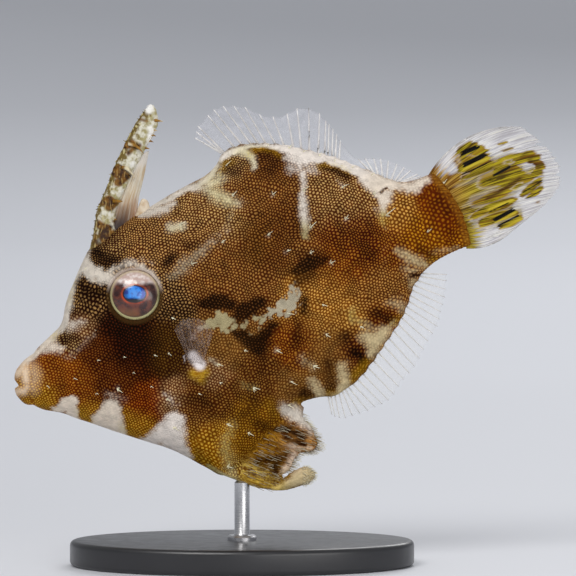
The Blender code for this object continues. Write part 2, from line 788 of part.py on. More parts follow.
def make_stand():
    bm = bmesh.new()
    bmesh.ops.create_cone(bm, cap_ends=True, segments=48, radius1=1.0, radius2=1.0, depth=1.0)
    size = (BASE_HALF_LENGTH * MM, BASE_HALF_WIDTH * MM, BASE_HEIGHT * MM)
    bmesh.ops.scale(bm, vec=size, verts=bm.verts[:])
    bmesh.ops.translate(bm, vec=(0, 0, BASE_HEIGHT * MM / 2), verts=bm.verts[:])
    top = [edge for edge in bm.edges if min(vert.co.z for vert in edge.verts) > BASE_HEIGHT * MM * 0.9]
    bmesh.ops.bevel(bm, geom=top, offset=BASE_BEVEL * MM, segments=2, profile=0.5, affect="EDGES")
    add_object("stand_base", bm, STAND_BLACK, 0.25)

    bm = bmesh.new()
    bmesh.ops.create_cone(
        bm, cap_ends=True, segments=24, radius1=ROD_RADIUS * MM, radius2=ROD_RADIUS * MM, depth=MM
    )
    slope = (ROD_TOP_REAR - ROD_TOP_FRONT) / (2 * ROD_RADIUS)
    for vert in bm.verts:
        top_z = (ROD_TOP_FRONT + ROD_TOP_REAR) / 2 * MM + slope * vert.co.x
        vert.co.z = top_z if vert.co.z > 0 else (BASE_HEIGHT + GAP) * MM
    add_object("stand_rod", bm, ROD_STEEL, 0.25)


clear_scene()
make_body()
make_head()
make_eyes()
make_spines()
make_fins()
make_stand()
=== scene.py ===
# A life-size bristle-tailed filefish on a plain stand: skin and markings, clear rayed fins, barbed spine
# and eyes. The snout points to -X, the photographed left side faces -Y, and the back is up.
import math
import random

import bmesh
import bpy
import numpy as np
from mathutils import Matrix, Vector, noise
from mathutils.kdtree import KDTree


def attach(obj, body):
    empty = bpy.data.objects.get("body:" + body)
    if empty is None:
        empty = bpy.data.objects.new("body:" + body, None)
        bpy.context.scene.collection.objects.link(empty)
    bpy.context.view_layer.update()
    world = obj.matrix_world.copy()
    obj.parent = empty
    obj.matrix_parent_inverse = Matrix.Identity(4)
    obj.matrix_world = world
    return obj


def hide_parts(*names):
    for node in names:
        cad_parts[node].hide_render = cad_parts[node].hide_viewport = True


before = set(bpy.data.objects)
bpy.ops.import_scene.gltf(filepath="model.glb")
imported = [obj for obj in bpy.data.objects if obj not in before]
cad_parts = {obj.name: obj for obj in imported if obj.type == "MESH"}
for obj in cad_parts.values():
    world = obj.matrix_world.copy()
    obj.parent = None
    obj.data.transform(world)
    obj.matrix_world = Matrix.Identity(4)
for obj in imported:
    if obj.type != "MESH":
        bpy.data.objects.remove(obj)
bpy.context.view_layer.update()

mm = 0.001
bodyName = "root"
driftSeed = 7
noise.seed_set(driftSeed)  # or else Blender's vector noise starts from another place in each run

# The photograph's scale: a pixel of the 576 x 576 picture as a place on the fish's middle plane, in mm
photoScale = {"mmPerPixel": 0.1565, "zeroX": 242.0, "zeroY": 566.0, "middle": (288.0, 288.0)}
studioView = {"distance": 600.0, "elevation": 2.0, "frameWidth": 90.14, "sensor": 36.0}


def fromPhoto(px, py):
    size = photoScale["mmPerPixel"]
    return (px - photoScale["zeroX"]) * size, (photoScale["zeroY"] - py) * size


# Small tools

def alongRows(rows, place):  # a smooth curve through rows of numbers
    last = len(rows) - 1
    place = min(max(place, 0.0), float(last))
    start = min(int(place), last - 1)
    t = place - start
    before, first = rows[max(start - 1, 0)], rows[start]
    second, after = rows[start + 1], rows[min(start + 2, last)]
    out = []
    for a, b, c, d in zip(before, first, second, after):
        bend = (2 * a - 5 * b + 4 * c - d) * t * t + (3 * b - a - 3 * c + d) * t ** 3
        out.append(0.5 * (2 * b + (c - a) * t + bend))
    return out


def shareRows(rows, fraction):
    return alongRows(rows, fraction * (len(rows) - 1))


def smoothStep(low, high, value):
    t = np.clip((np.asarray(value, float) - low) / (high - low), 0.0, 1.0)
    return t * t * (3 - 2 * t)


def facesOut(bm):
    bmesh.ops.recalc_face_normals(bm, faces=bm.faces[:])


def newObject(name, bm):
    mesh = bpy.data.meshes.new(name)
    bm.to_mesh(mesh)
    bm.free()
    thing = bpy.data.objects.new(name, mesh)
    bpy.context.scene.collection.objects.link(thing)
    return thing


def finishPiece(thing, material, slotName, *replaced):
    thing.data.materials.clear()
    thing.data.materials.append(material)
    thing.data.shade_smooth()
    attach(thing, bodyName)
    if replaced:
        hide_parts(*replaced)
    print("made", thing.name, len(thing.data.polygons))
    return thing


def applyModifiers(thing):
    bpy.context.view_layer.update()
    graph = bpy.context.evaluated_depsgraph_get()
    done = bpy.data.meshes.new_from_object(thing.evaluated_get(graph))
    thing.modifiers.clear()
    old = thing.data
    thing.data = done
    bpy.data.meshes.remove(old)
    done.name = thing.name


def dropObject(thing):
    mesh = thing.data
    bpy.data.objects.remove(thing, do_unlink=True)
    bpy.data.meshes.remove(mesh)


def addLayer(mesh, name, kind, values):  # one value, or one vector or colour, for each vertex
    layer = mesh.attributes.new(name, kind, "POINT")
    key = {"FLOAT": "value", "FLOAT_VECTOR": "vector", "FLOAT_COLOR": "color"}[kind]
    values = np.asarray(values, np.float32)
    if kind == "FLOAT_COLOR" and values.shape[1] == 3:
        values = np.concatenate([values, np.ones((len(values), 1), np.float32)], axis=1)
    layer.data.foreach_set(key, values.reshape(-1))


def addChannels(mesh, name, *channels):  # three values for each vertex, kept as a colour
    addLayer(mesh, name, "FLOAT_COLOR", np.stack(channels, 1))


def setPlaces(mesh, at):  # places in mm
    mesh.vertices.foreach_set("co", (at * mm).astype(np.float32).reshape(-1))


def vertexArray(mesh, key="co"):
    out = np.empty(len(mesh.vertices) * 3, np.float32)
    mesh.vertices.foreach_get(key, out)
    return out.reshape(-1, 3).astype(float)


def strand(path, radii, sides=6, flat=1.0):  # a tapered rod through points in mm, grown by extruding its end
    bm = bmesh.new()
    path = [Vector(p) * mm for p in path]
    frames = []
    for number, point in enumerate(path):
        ahead = path[min(number + 1, len(path) - 1)] - path[max(number - 1, 0)]
        turn = ahead.to_track_quat("Z", "Y").to_matrix().to_4x4()
        size = Matrix.Diagonal((radii[number] * mm, radii[number] * mm * flat, 1.0, 1.0))
        frames.append(Matrix.Translation(point) @ turn @ size)
    bmesh.ops.create_circle(bm, cap_ends=True, segments=sides, radius=1.0, matrix=frames[0])
    face = next(iter(bm.faces))
    for old, new in zip(frames, frames[1:]):
        grown = bmesh.ops.extrude_face_region(bm, geom=[face])["geom"]
        face = [item for item in grown if isinstance(item, bmesh.types.BMFace)][0]
        bmesh.ops.transform(bm, matrix=new @ old.inverted(), verts=face.verts[:])
    facesOut(bm)
    mesh = bpy.data.meshes.new("strand")
    bm.to_mesh(mesh)
    bm.free()
    return mesh


def spunForm(profile, steps, scale=mm):  # a profile of (radius, height) turned round the upright axis
    bm = bmesh.new()
    verts = [bm.verts.new(Vector((radius, 0.0, height)) * scale) for radius, height in profile]
    edges = [bm.edges.new(pair) for pair in zip(verts, verts[1:])]
    bmesh.ops.spin(
        bm, geom=verts + edges, cent=(0, 0, 0), axis=(0, 0, 1),
        angle=2 * math.pi, steps=steps, use_merge=True,
    )
    bmesh.ops.remove_doubles(bm, verts=bm.verts[:], dist=1e-6)
    facesOut(bm)
    return bm


def joined(meshes):
    bm = bmesh.new()
    for mesh in meshes:
        bm.from_mesh(mesh)
        bpy.data.meshes.remove(mesh)
    return bm


def sheetObject(name, columns, rows, place, half):  # a thin plate over a grid, tapering as half says
    bm = bmesh.new()
    grid = bmesh.ops.create_grid(bm, x_segments=columns, y_segments=rows, size=0.5)["verts"]
    spots = []
    for vert in grid:
        u, v = vert.co.x + 0.5, vert.co.y + 0.5
        spots.append((u, v))
        vert.co = Vector(place(u, v)) * mm
    facesOut(bm)
    thing = newObject(name, bm)
    addLayer(thing.data, "spread", "FLOAT_VECTOR", [(u, v, 0.0) for u, v in spots])
    group = thing.vertex_groups.new(name="thickness")
    for number, (u, v) in enumerate(spots):
        group.add([number], min(half(u, v) / 2.0, 1.0), "REPLACE")
    solid = thing.modifiers.new("Solidify", "SOLIDIFY")
    solid.thickness = 4.0 * mm
    solid.offset = 0.0
    solid.use_even_offset = False
    solid.vertex_group = group.name
    applyModifiers(thing)
    return thing


def tintOf(code):  # a colour given as it looks on screen, turned linear
    channels = [int(code[k:k + 2], 16) / 255 for k in (0, 2, 4)]
    return tuple(c / 12.92 if c < 0.04045 else ((c + 0.055) / 1.055) ** 2.4 for c in channels)


def chainDistance(x, y, chain):  # how far outside a chain of (x, y, radius) beads each point lies
    best = np.full(len(x), 1e9)
    pairs = list(zip(chain, chain[1:])) or [(chain[0], chain[0])]
    for (ax, ay, ar), (bx, by, br) in pairs:
        dx, dy = bx - ax, by - ay
        t = np.clip(((x - ax) * dx + (y - ay) * dy) / max(dx * dx + dy * dy, 1e-9), 0, 1)
        gap = np.hypot(x - ax - dx * t, y - ay - dy * t) - (ar + (br - ar) * t)
        best = np.minimum(best, gap)
    return best


def markLayer(x, y, marks):  # a mark is a chain, its strength and its softness
    total = np.zeros(len(x))
    for chain, strength, soft in marks.values():
        total = np.maximum(total, strength * smoothStep(1.1 * soft, -1.5 * soft, chainDistance(x, y, chain)))
    return total


def seenAt(at):  # where the camera sees a point of either flank, in the photograph's pixels
    tilt = math.radians(studioView["elevation"])
    nearer = -np.abs(at[:, 1])
    x, z = fromPhoto(*photoScale["middle"])
    away = studioView["distance"]
    grown = away / (away + nearer * math.cos(tilt)) / photoScale["mmPerPixel"]
    px = photoScale["middle"][0] + (at[:, 0] - x) * grown
    py = photoScale["middle"][1] - ((at[:, 2] - z) * math.cos(tilt) + nearer * math.sin(tilt)) * grown
    return px, py


def wander(points, scale, amount, seed):  # a smooth random drift of each point, the same each run
    out = np.empty((len(points), 3))
    for number, p in enumerate(points):
        out[number] = noise.noise_vector(Vector((p[0] * scale + seed, p[1] * scale, p[2] * scale)))
    return out * amount


# Shader tools

class Wires:  # a short way to add and join shader nodes
    def __init__(self, tree):
        self.tree = tree

    def add(self, kind, **settings):
        node = self.tree.nodes.new(kind)
        for key, value in settings.items():
            setattr(node, key, value)
        return node

    def put(self, socket, value):
        if isinstance(value, str):
            value = tintOf(value)
        if isinstance(value, bpy.types.NodeSocket):
            self.tree.links.new(value, socket)
        elif value is not None:
            if socket.type == "RGBA" and len(value) == 3:
                value = (*value, 1.0)
            socket.default_value = value

    def maths(self, operation, a, b=None, c=None, clamp=False):
        node = self.add("ShaderNodeMath", operation=operation, use_clamp=clamp)
        for socket, value in zip(node.inputs, (a, b, c)):
            self.put(socket, value)
        return node.outputs[0]

    def times(self, a, b):
        return self.maths("MULTIPLY", a, b)

    def plus(self, a, b, clamp=False):
        return self.maths("ADD", a, b, clamp=clamp)

    def line(self, value, slope, rise):  # value times slope, plus rise
        return self.maths("MULTIPLY_ADD", value, slope, rise)

    def vector(self, operation, a, b=None, scale=None):
        node = self.add("ShaderNodeVectorMath", operation=operation)
        self.put(node.inputs[0], a)
        self.put(node.inputs[1], b)
        if scale is not None:
            self.put(node.inputs["Scale"], scale)
        return node.outputs["Value" if operation in ("DOT_PRODUCT", "LENGTH", "DISTANCE") else "Vector"]

    def ramp(self, value, low, high, toLow=0.0, toHigh=1.0, kind="SMOOTHSTEP"):
        node = self.add("ShaderNodeMapRange", interpolation_type=kind)
        for socket, given in zip(node.inputs, (value, low, high, toLow, toHigh)):
            self.put(socket, given)
        return node.outputs[0]

    def mix(self, amount, a, b, blend="MIX"):
        node = self.add("ShaderNodeMix", data_type="RGBA", blend_type=blend)
        self.put(node.inputs["Factor"], amount)
        self.put(node.inputs[6], a)
        self.put(node.inputs[7], b)
        return node.outputs[2]

    def attribute(self, name, output="Color"):
        return self.add("ShaderNodeAttribute", attribute_name=name).outputs[output]

    def split(self, name, kind="Color"):  # the three parts of a colour or vector attribute
        node = self.add("ShaderNodeSeparateColor" if kind == "Color" else "ShaderNodeSeparateXYZ")
        self.put(node.inputs[0], self.attribute(name, kind))
        return node.outputs

    def combine(self, x, y):
        node = self.add("ShaderNodeCombineXYZ")
        self.put(node.inputs[0], x)
        self.put(node.inputs[1], y)
        return node.outputs[0]

    def mapping(self, vector, scale, turn=0.0):
        node = self.add("ShaderNodeMapping", vector_type="POINT")
        self.put(node.inputs["Vector"], vector)
        node.inputs["Rotation"].default_value = (0, 0, turn)
        node.inputs["Scale"].default_value = scale
        return node.outputs[0]

    def placeInMm(self):
        return self.vector("SCALE", self.add("ShaderNodeTexCoord").outputs["Object"], scale=1 / mm)

    def noise(self, vector, scale, detail=2.0, output="Fac"):
        node = self.add("ShaderNodeTexNoise")
        self.put(node.inputs["Vector"], vector)
        self.put(node.inputs["Scale"], scale)
        self.put(node.inputs["Detail"], detail)
        return node.outputs[output]

    def bump(self, height, distance, strength=1.0, normal=None):
        node = self.add("ShaderNodeBump")
        self.put(node.inputs["Height"], height)
        self.put(node.inputs["Distance"], distance)
        self.put(node.inputs["Strength"], strength)
        self.put(node.inputs["Normal"], normal)
        return node.outputs[0]

    def group(self, tree, **given):
        node = self.add("ShaderNodeGroup", node_tree=tree)
        for key, value in given.items():
            self.put(node.inputs[key], value)
        return node.outputs

    def feed(self, **values):  # into the sockets of the material's shader
        shader = self.tree.nodes["Principled BSDF"]
        for key, value in values.items():
            self.put(shader.inputs[key.replace("_", " ")], value)


def newMaterial(name, **values):
    material = bpy.data.materials.new(name)
    material.use_nodes = True
    wires = Wires(material.node_tree)
    wires.feed(**values)
    return material, wires


def newGroup(name, inputs, outputs):
    tree = bpy.data.node_groups.new(name, "ShaderNodeTree")
    for label, kind in inputs:
        tree.interface.new_socket(name=label, in_out="INPUT", socket_type=kind)
    for label, kind in outputs:
        tree.interface.new_socket(name=label, in_out="OUTPUT", socket_type=kind)
    wires = Wires(tree)
    return tree, wires, wires.add("NodeGroupInput"), wires.add("NodeGroupOutput")


def buildDotGroup():  # pale round dots in a wandering six-sided net, as wide apart as Spacing
    tree, w, given, out = newGroup(
        "dot net",
        [("Vector", "NodeSocketVector"), ("Spacing", "NodeSocketFloat"), ("Wander", "NodeSocketFloat")],
        [("Dots", "NodeSocketFloat")],
    )
    perMm = w.maths("DIVIDE", 1.0, given.outputs["Spacing"])
    place = w.vector("SCALE", given.outputs["Vector"], scale=perMm)
    slow = w.vector("SUBTRACT", w.noise(place, 0.16, 1.0, "Color"), (0.5, 0.5, 0.5))
    quick = w.vector("SUBTRACT", w.noise(place, 0.75, 1.0, "Color"), (0.5, 0.5, 0.5))
    amount = w.times(given.outputs["Wander"], 2.2)
    place = w.vector("ADD", place, w.vector("SCALE", slow, scale=amount))
    amount = w.times(given.outputs["Wander"], 0.55)
    place = w.vector("ADD", place, w.vector("SCALE", quick, scale=amount))
    total = None
    for turn in (15, 75, 135):
        pitch = 4 * math.pi / math.sqrt(3)
        along = (pitch * math.cos(math.radians(turn)), pitch * math.sin(math.radians(turn)), 0.0)
        wave = w.maths("COSINE", w.vector("DOT_PRODUCT", place, along))
        total = wave if total is None else w.plus(total, wave)
    w.put(out.inputs["Dots"], w.ramp(total, -1.5, 3.0, kind="LINEAR"))
    return tree


def buildGrainGroup():  # fine roughness of the hide: height for a bump and a light mottle for colour
    tree, w, given, out = newGroup(
        "hide grain",
        [("Vector", "NodeSocketVector"), ("Scale", "NodeSocketFloat")],
        [("Height", "NodeSocketFloat"), ("Mottle", "NodeSocketFloat")],
    )
    fine = w.noise(given.outputs["Vector"], given.outputs["Scale"], 3.0)
    wide = w.noise(given.outputs["Vector"], w.times(given.outputs["Scale"], 0.12))
    w.put(out.inputs["Height"], fine)
    w.put(out.inputs["Mottle"], w.ramp(wide, 0.3, 0.7, kind="LINEAR"))
    return tree


dotGroup = buildDotGroup()
grainGroup = buildGrainGroup()

# Skin: one closed hide over head, trunk, tail stalk, ventral flap and pelvic rudiment

bodyShape = {
    # top x, top z, bottom x, bottom z, half width of each slanted ring, snout to tail, in mm
    "rings": [
        (-35.6, 30.0, -35.6, 27.6, 0.9), (-35.2, 30.9, -35.3, 26.7, 1.8), (-34.4, 31.7, -34.6, 26.0, 2.5),
        (-33.3, 32.8, -33.6, 25.3, 2.75), (-32.6, 33.5, -32.4, 25.0, 2.85), (-31.5, 34.6, -30.8, 24.4, 3.2),
        (-29.9, 36.2, -28.3, 24.0, 3.8), (-28.3, 37.9, -24.9, 22.7, 4.4), (-27.5, 41.2, -19.6, 20.9, 5.2),
        (-26.4, 44.1, -14.9, 19.4, 5.8), (-24.8, 47.8, -10.3, 17.8, 6.3), (-23.4, 50.1, -5.8, 15.4, 6.3),
        (-20.2, 52.3, -3.1, 14.1, 6.3), (-17.1, 54.5, -0.6, 15.0, 6.1), (-12.8, 57.2, 3.1, 18.6, 5.9),
        (-8.6, 59.6, 6.7, 22.8, 5.6), (-5.8, 61.0, 9.1, 25.4, 5.4), (-3.9, 62.9, 11.6, 26.3, 5.2),
        (-3.0, 64.6, 14.6, 26.8, 5.0), (0.5, 65.9, 17.2, 28.2, 4.8), (5.9, 65.9, 19.6, 30.9, 4.5),
        (10.6, 64.9, 22.2, 34.6, 4.2), (15.3, 63.6, 24.6, 38.2, 3.8), (19.2, 62.1, 25.9, 41.0, 3.3),
        (22.4, 60.7, 26.8, 43.8, 3.0), (24.7, 60.0, 28.5, 46.0, 2.7), (26.9, 60.4, 30.8, 48.0, 2.3),
        (29.0, 61.2, 33.8, 49.5, 1.9), (30.0, 61.4, 35.8, 50.2, 1.5),
    ],
    "around": 96,
    "stepsEachRing": 4,
    "upperFullness": 0.14,
    "keelAtSnout": 0.95,
    "keelAtBody": 1.2,
    "tailBulge": 1.3,
    "tailBulgeRings": 1.6,
    "voxel": 0.275,
    "backRidge": [(-3.2, 65.4, 0), (5.9, 65.9, 0), (15.3, 63.9, 0), (24.3, 60.6, 0)],
    "bellyRidge": [(14.0, 26.8, 0), (19.6, 30.9, 0), (24.6, 38.2, 0), (27.6, 44.6, 0)],
}
headShape = {
    "eyeCentre": (-16.55, 4.05, 42.42),
    "eyeTilt": 9.0,
    "socketRadius": 3.95,
    "socketDepth": 2.4,
    "socketOut": 1.3,
    "rimRadius": 4.32,
    "rimThickness": 0.32,
    "rimOut": 1.4,
    "rimSides": 12,
    "rimSteps": 64,
    "nostrils": [(-22.8, 45.0), (-22.2, 43.1)],
    "gillSlit": [(-8.3, 36.6), (-8.9, 34.6), (-9.4, 32.4)],
    "mouthSteps": [(-36.2, 28.6, 2.2), (-34.9, 28.35, 0.4), (-33.0, 28.4, 0.25)],
    "mouthWidth": 12,
    "lobe": (-6.8, 5.75, 30.4),
    "lobeHalf": (1.35, 1.0, 1.75),
}
flapShape = {
    "seam": [
        (9.5, 25.0), (7.15, 22.6), (3.55, 18.4), (1.65, 16.35), (-0.3, 14.65), (-1.5, 14.05), (-2.7, 13.6),
    ],
    "margin": [
        (9.7, 24.8), (9.6, 23.2), (10.8, 21.9), (11.6, 20.2), (11.9, 18.9), (11.0, 18.0),
        (9.2, 17.7), (8.1, 16.6), (7.5, 15.2), (6.2, 14.1), (6.0, 13.0), (6.0, 11.8),
    ],
    "pelvis": [(-2.7, 13.6), (-0.3, 12.9), (2.0, 12.2), (4.4, 11.8), (6.0, 11.8)],
    "inset": 1.6,
    "halfAtSeam": 0.95,
    "halfAtMargin": 0.28,
    "pelvisHalf": 1.1,
    "grid": (60, 60),
    "bristled": [(6.6, 20.8, 1.8), (9.6, 19.5, 2.3), (6.3, 17.8, 4.0), (3.2, 15.2, 3.4)],
}
rudimentShape = {
    "rings": [
        (5.6, 13.3, 5.6, 11.7, 0.85), (6.4, 13.6, 6.4, 11.7, 0.9), (7.9, 14.7, 7.6, 11.9, 0.95),
        (9.2, 15.3, 9.2, 12.4, 0.9), (10.2, 15.4, 10.5, 12.9, 0.75), (10.9, 15.0, 11.3, 13.7, 0.5),
        (11.3, 14.6, 11.5, 14.2, 0.25),
    ],
    "around": 20,
    "steps": 30,
}


def ringPoints(row, around, keel, bulge=0.0):
    top, bottom = Vector((row[0], 0, row[1])), Vector((row[2], 0, row[3]))
    forward = Vector((bottom.z - top.z, 0, top.x - bottom.x)).normalized()
    points = []
    for number in range(around):
        turn = 2 * math.pi * number / around
        height, across = math.cos(turn), math.sin(turn)
        width = row[4] * abs(across) ** keel * (1 + bodyShape["upperFullness"] * height)
        point = top.lerp(bottom, (1 - height) / 2) - forward * bulge * across * across
        points.append(point + Vector((0, math.copysign(width, across), 0)))
    return points


def loftBmesh(rings):
    around = len(rings[0])
    bm = bmesh.new()
    grid = bmesh.ops.create_grid(bm, x_segments=around, y_segments=len(rings) - 1, size=0.5)["verts"]
    for vert in grid:
        column = round((vert.co.x + 0.5) * around) % around
        level = round((vert.co.y + 0.5) * (len(rings) - 1))
        vert.co = rings[level][column] * mm
    bmesh.ops.remove_doubles(bm, verts=bm.verts[:], dist=1e-7)
    bmesh.ops.holes_fill(bm, edges=[edge for edge in bm.edges if edge.is_boundary], sides=0)
    facesOut(bm)
    return bm


def smoothLoft(rows, around, steps, keel):
    rings = [ringPoints(shareRows(rows, step / steps), around, keel) for step in range(steps + 1)]
    return loftBmesh(rings)


def bodyRingList():
    rings, places = [], []
    last = len(bodyShape["rings"]) - 1
    steps = last * bodyShape["stepsEachRing"]
    for step in range(steps + 1):
        place = last * step / steps
        keel = bodyShape["keelAtSnout"]
        keel += (bodyShape["keelAtBody"] - keel) * min(place / 10.0, 1.0)
        reach = max(0.0, place - (last - bodyShape["tailBulgeRings"])) / bodyShape["tailBulgeRings"]
        row = alongRows(bodyShape["rings"], place)
        rings.append(ringPoints(row, bodyShape["around"], keel, bodyShape["tailBulge"] * reach))
        places.append(place / last)
    return rings, places


def eyeMatrix(side):  # local +Z looks out of the eye, local +Y is up
    tilt = math.radians(headShape["eyeTilt"])
    outward = Vector((0, side * math.cos(tilt), math.sin(tilt)))
    upward = Vector((0, -side * math.sin(tilt), math.cos(tilt)))
    sideways = upward.cross(outward)
    turn = Matrix((sideways, upward, outward)).transposed().to_4x4()
    x, y, z = headShape["eyeCentre"]
    return Matrix.Translation(Vector((x, side * y, z)) * mm) @ turn


def roundForm(matrix, half, fineness=24):
    bm = bmesh.new()
    bmesh.ops.create_uvsphere(bm, u_segments=fineness, v_segments=fineness // 2, radius=1.0)
    size = Matrix.Diagonal((half[0] * mm, half[1] * mm, half[2] * mm, 1.0))
    bmesh.ops.transform(bm, matrix=matrix @ size, verts=bm.verts[:])
    return bm


def rimForm(side):
    bm = bmesh.new()
    thick, upright = headShape["rimThickness"] * mm, Matrix.Rotation(math.pi / 2, 4, "X")
    bmesh.ops.create_circle(bm, segments=headShape["rimSides"], radius=thick, matrix=upright)
    bmesh.ops.translate(bm, vec=(headShape["rimRadius"] * mm, 0, 0), verts=bm.verts[:])
    bmesh.ops.spin(
        bm, geom=bm.verts[:] + bm.edges[:], cent=(0, 0, 0), axis=(0, 0, 1),
        angle=2 * math.pi, steps=headShape["rimSteps"], use_merge=True,
    )
    bmesh.ops.remove_doubles(bm, verts=bm.verts[:], dist=1e-7)
    outward = Matrix.Translation((0, 0, headShape["rimOut"] * mm))
    bmesh.ops.transform(bm, matrix=eyeMatrix(side) @ outward, verts=bm.verts[:])
    facesOut(bm)
    return bm


def mouthWedge(front, rear):
    bm = bmesh.new()
    bmesh.ops.create_cube(bm, size=1.0)
    for vert in bm.verts:
        x, middle, height = rear if vert.co.x > 0 else front
        z = middle + math.copysign(height / 2, vert.co.z)
        vert.co = Vector((x, vert.co.y * headShape["mouthWidth"], z)) * mm
    return bm


def flapPlace(u, v):
    inner, outer = shareRows(flapShape["seam"], v), shareRows(flapShape["margin"], v)
    low = shareRows(flapShape["pelvis"], u)
    cornerIn, cornerOut = flapShape["seam"][-1], flapShape["margin"][-1]
    sagX = low[0] - cornerIn[0] - (cornerOut[0] - cornerIn[0]) * u
    sagZ = low[1] - cornerIn[1] - (cornerOut[1] - cornerIn[1]) * u
    x = inner[0] + (outer[0] - inner[0]) * u + sagX * v ** 3
    z = inner[1] + (outer[1] - inner[1]) * u + sagZ * v ** 3
    sunk = flapShape["inset"] * (1 - u) ** 2  # the inner edge runs on into the belly
    return (x - sunk * 0.75, 0.0, z + sunk * 0.65)


def flapHalf(u, v):
    thin = flapShape["halfAtSeam"] + (flapShape["halfAtMargin"] - flapShape["halfAtSeam"]) * u ** 0.8
    bone = max(0.0, (v - 0.6) / 0.4) ** 2
    return thin + (flapShape["pelvisHalf"] - thin) * bone


def makeHide():
    rings, places = bodyRingList()
    hide = newObject("hide", loftBmesh(rings))
    cutters = bpy.data.collections.new("cutters")
    bpy.context.scene.collection.children.link(cutters)
    steps = headShape["mouthSteps"]
    tools = [newObject("cut", mouthWedge(*pair)) for pair in zip(steps, steps[1:])]
    socket = (headShape["socketRadius"], headShape["socketRadius"], headShape["socketDepth"])
    for side in (-1, 1):
        outward = Matrix.Translation((0, 0, headShape["socketOut"] * mm))
        tools.append(newObject("cut", roundForm(eyeMatrix(side) @ outward, socket, 32)))
    for tool in tools:
        bpy.context.scene.collection.objects.unlink(tool)
        cutters.objects.link(tool)
    cut = hide.modifiers.new("Boolean", "BOOLEAN")
    cut.operation = "DIFFERENCE"
    cut.operand_type = "COLLECTION"
    cut.collection = cutters
    cut.solver = "EXACT"
    applyModifiers(hide)
    for tool in tools:
        dropObject(tool)
    bpy.data.collections.remove(cutters)
    print("body lofted and cut", len(hide.data.vertices))

    whole = bmesh.new()
    whole.from_mesh(hide.data)
    extras = [rimForm(-1), rimForm(1)]
    for side in (-1, 1):
        x, y, z = headShape["lobe"]
        extras.append(roundForm(Matrix.Translation(Vector((x, side * y, z)) * mm), headShape["lobeHalf"]))
    extras.append(smoothLoft(rudimentShape["rings"], rudimentShape["around"], rudimentShape["steps"], 1.0))
    for extra in extras:
        mesh = bpy.data.meshes.new("extra")
        extra.to_mesh(mesh)
        extra.free()
        whole.from_mesh(mesh)
        bpy.data.meshes.remove(mesh)
    flap = sheetObject("flap", *flapShape["grid"], flapPlace, flapHalf)
    whole.from_mesh(flap.data)
    dropObject(flap)
    dropObject(hide)
    hide = newObject("fish_skin", whole)
    remesh = hide.modifiers.new("Remesh", "REMESH")
    remesh.mode = "VOXEL"
    remesh.voxel_size = bodyShape["voxel"] * mm
    applyModifiers(hide)
    print("hide joined", len(hide.data.vertices))
    return hide, rings, places


hide, hideRings, hidePlaces = makeHide()


hideRelief = {  # each swelling or groove as where it lies, how high it is and how wide, in mm
    "lip": (-34.1, 0.16, 0.75),
    "lipFold": (-32.75, -0.12, 0.35),
    "nostrilRim": (0.62, 0.16, 0.2),
    "nostrilPit": (0.0, -0.7, 0.3),
    "gillSwelling": (0.0, 0.12, 1.3),
    "gillSlit": (0.0, -0.5, 0.22),
    "lidFolds": (5.2, 0.07, 0.45),
    "lidGroove": (4.85, -0.12, 0.22),
    "backRidge": (0.0, 0.22, 0.9),
    "bellyRidge": (0.0, 0.2, 0.9),
}


def relief(name, distance, power=2):
    where, high, wide = hideRelief[name]
    return high * np.exp(-(((distance - where) / wide) ** power))


def carveHide(hide):  # lips, lids, nostrils, gill slit and small swellings, moved point by point
    mesh = hide.data
    at = vertexArray(mesh) / mm
    out = vertexArray(mesh, "normal")
    x, y, z = at.T
    push = np.zeros(len(at))
    push += (relief("lip", x) + relief("lipFold", x)) * smoothStep(-31.6, -32.2, x)
    for px, pz in headShape["nostrils"]:
        away = np.hypot(x - px, z - pz)
        push += relief("nostrilRim", away) + relief("nostrilPit", away, 4)
    slit = chainDistance(x, z, [(sx, sz, 0.0) for sx, sz in headShape["gillSlit"]])
    behind = smoothStep(0.0, 0.5, x + 8.8) * relief("gillSwelling", slit)
    push += np.where(np.abs(y) > 3, behind + relief("gillSlit", slit), 0.0)
    eyeX, _, eyeZ = headShape["eyeCentre"]
    around = np.hypot(x - eyeX, z - eyeZ)
    turn = np.arctan2(z - eyeZ, x - eyeX)
    push += np.cos(turn * 9 + 2 * np.cos(turn * 2)) * relief("lidFolds", around) + relief("lidGroove", around)
    slow = wander(at, 0.16, 1.0, 3.0)[:, 0]
    quick = wander(at, 0.55, 1.0, 9.0)[:, 1]
    onBody = smoothStep(-33.5, -31.0, x)
    push += onBody * (0.14 * slow + 0.05 * quick)
    for name, along in (("backRidge", x), ("bellyRidge", z)):
        beads = 0.6 + 0.4 * np.cos(along * 3.5)
        push += relief(name, chainDistance(x, z, bodyShape[name])) * beads
    streak = flapStreak(x, z)
    ridge = np.sin((z * 0.94 + x * 0.34 + 1.2 * slow) * 7.5)
    push += 0.07 * ridge * streak
    at += out * push[:, None]
    setPlaces(mesh, at)
    mesh.update()


def flapStreak(x, z):  # where the hide is drawn out into lines of bristles
    return smoothStep(0.6, -0.8, chainDistance(x, z, flapShape["bristled"]))
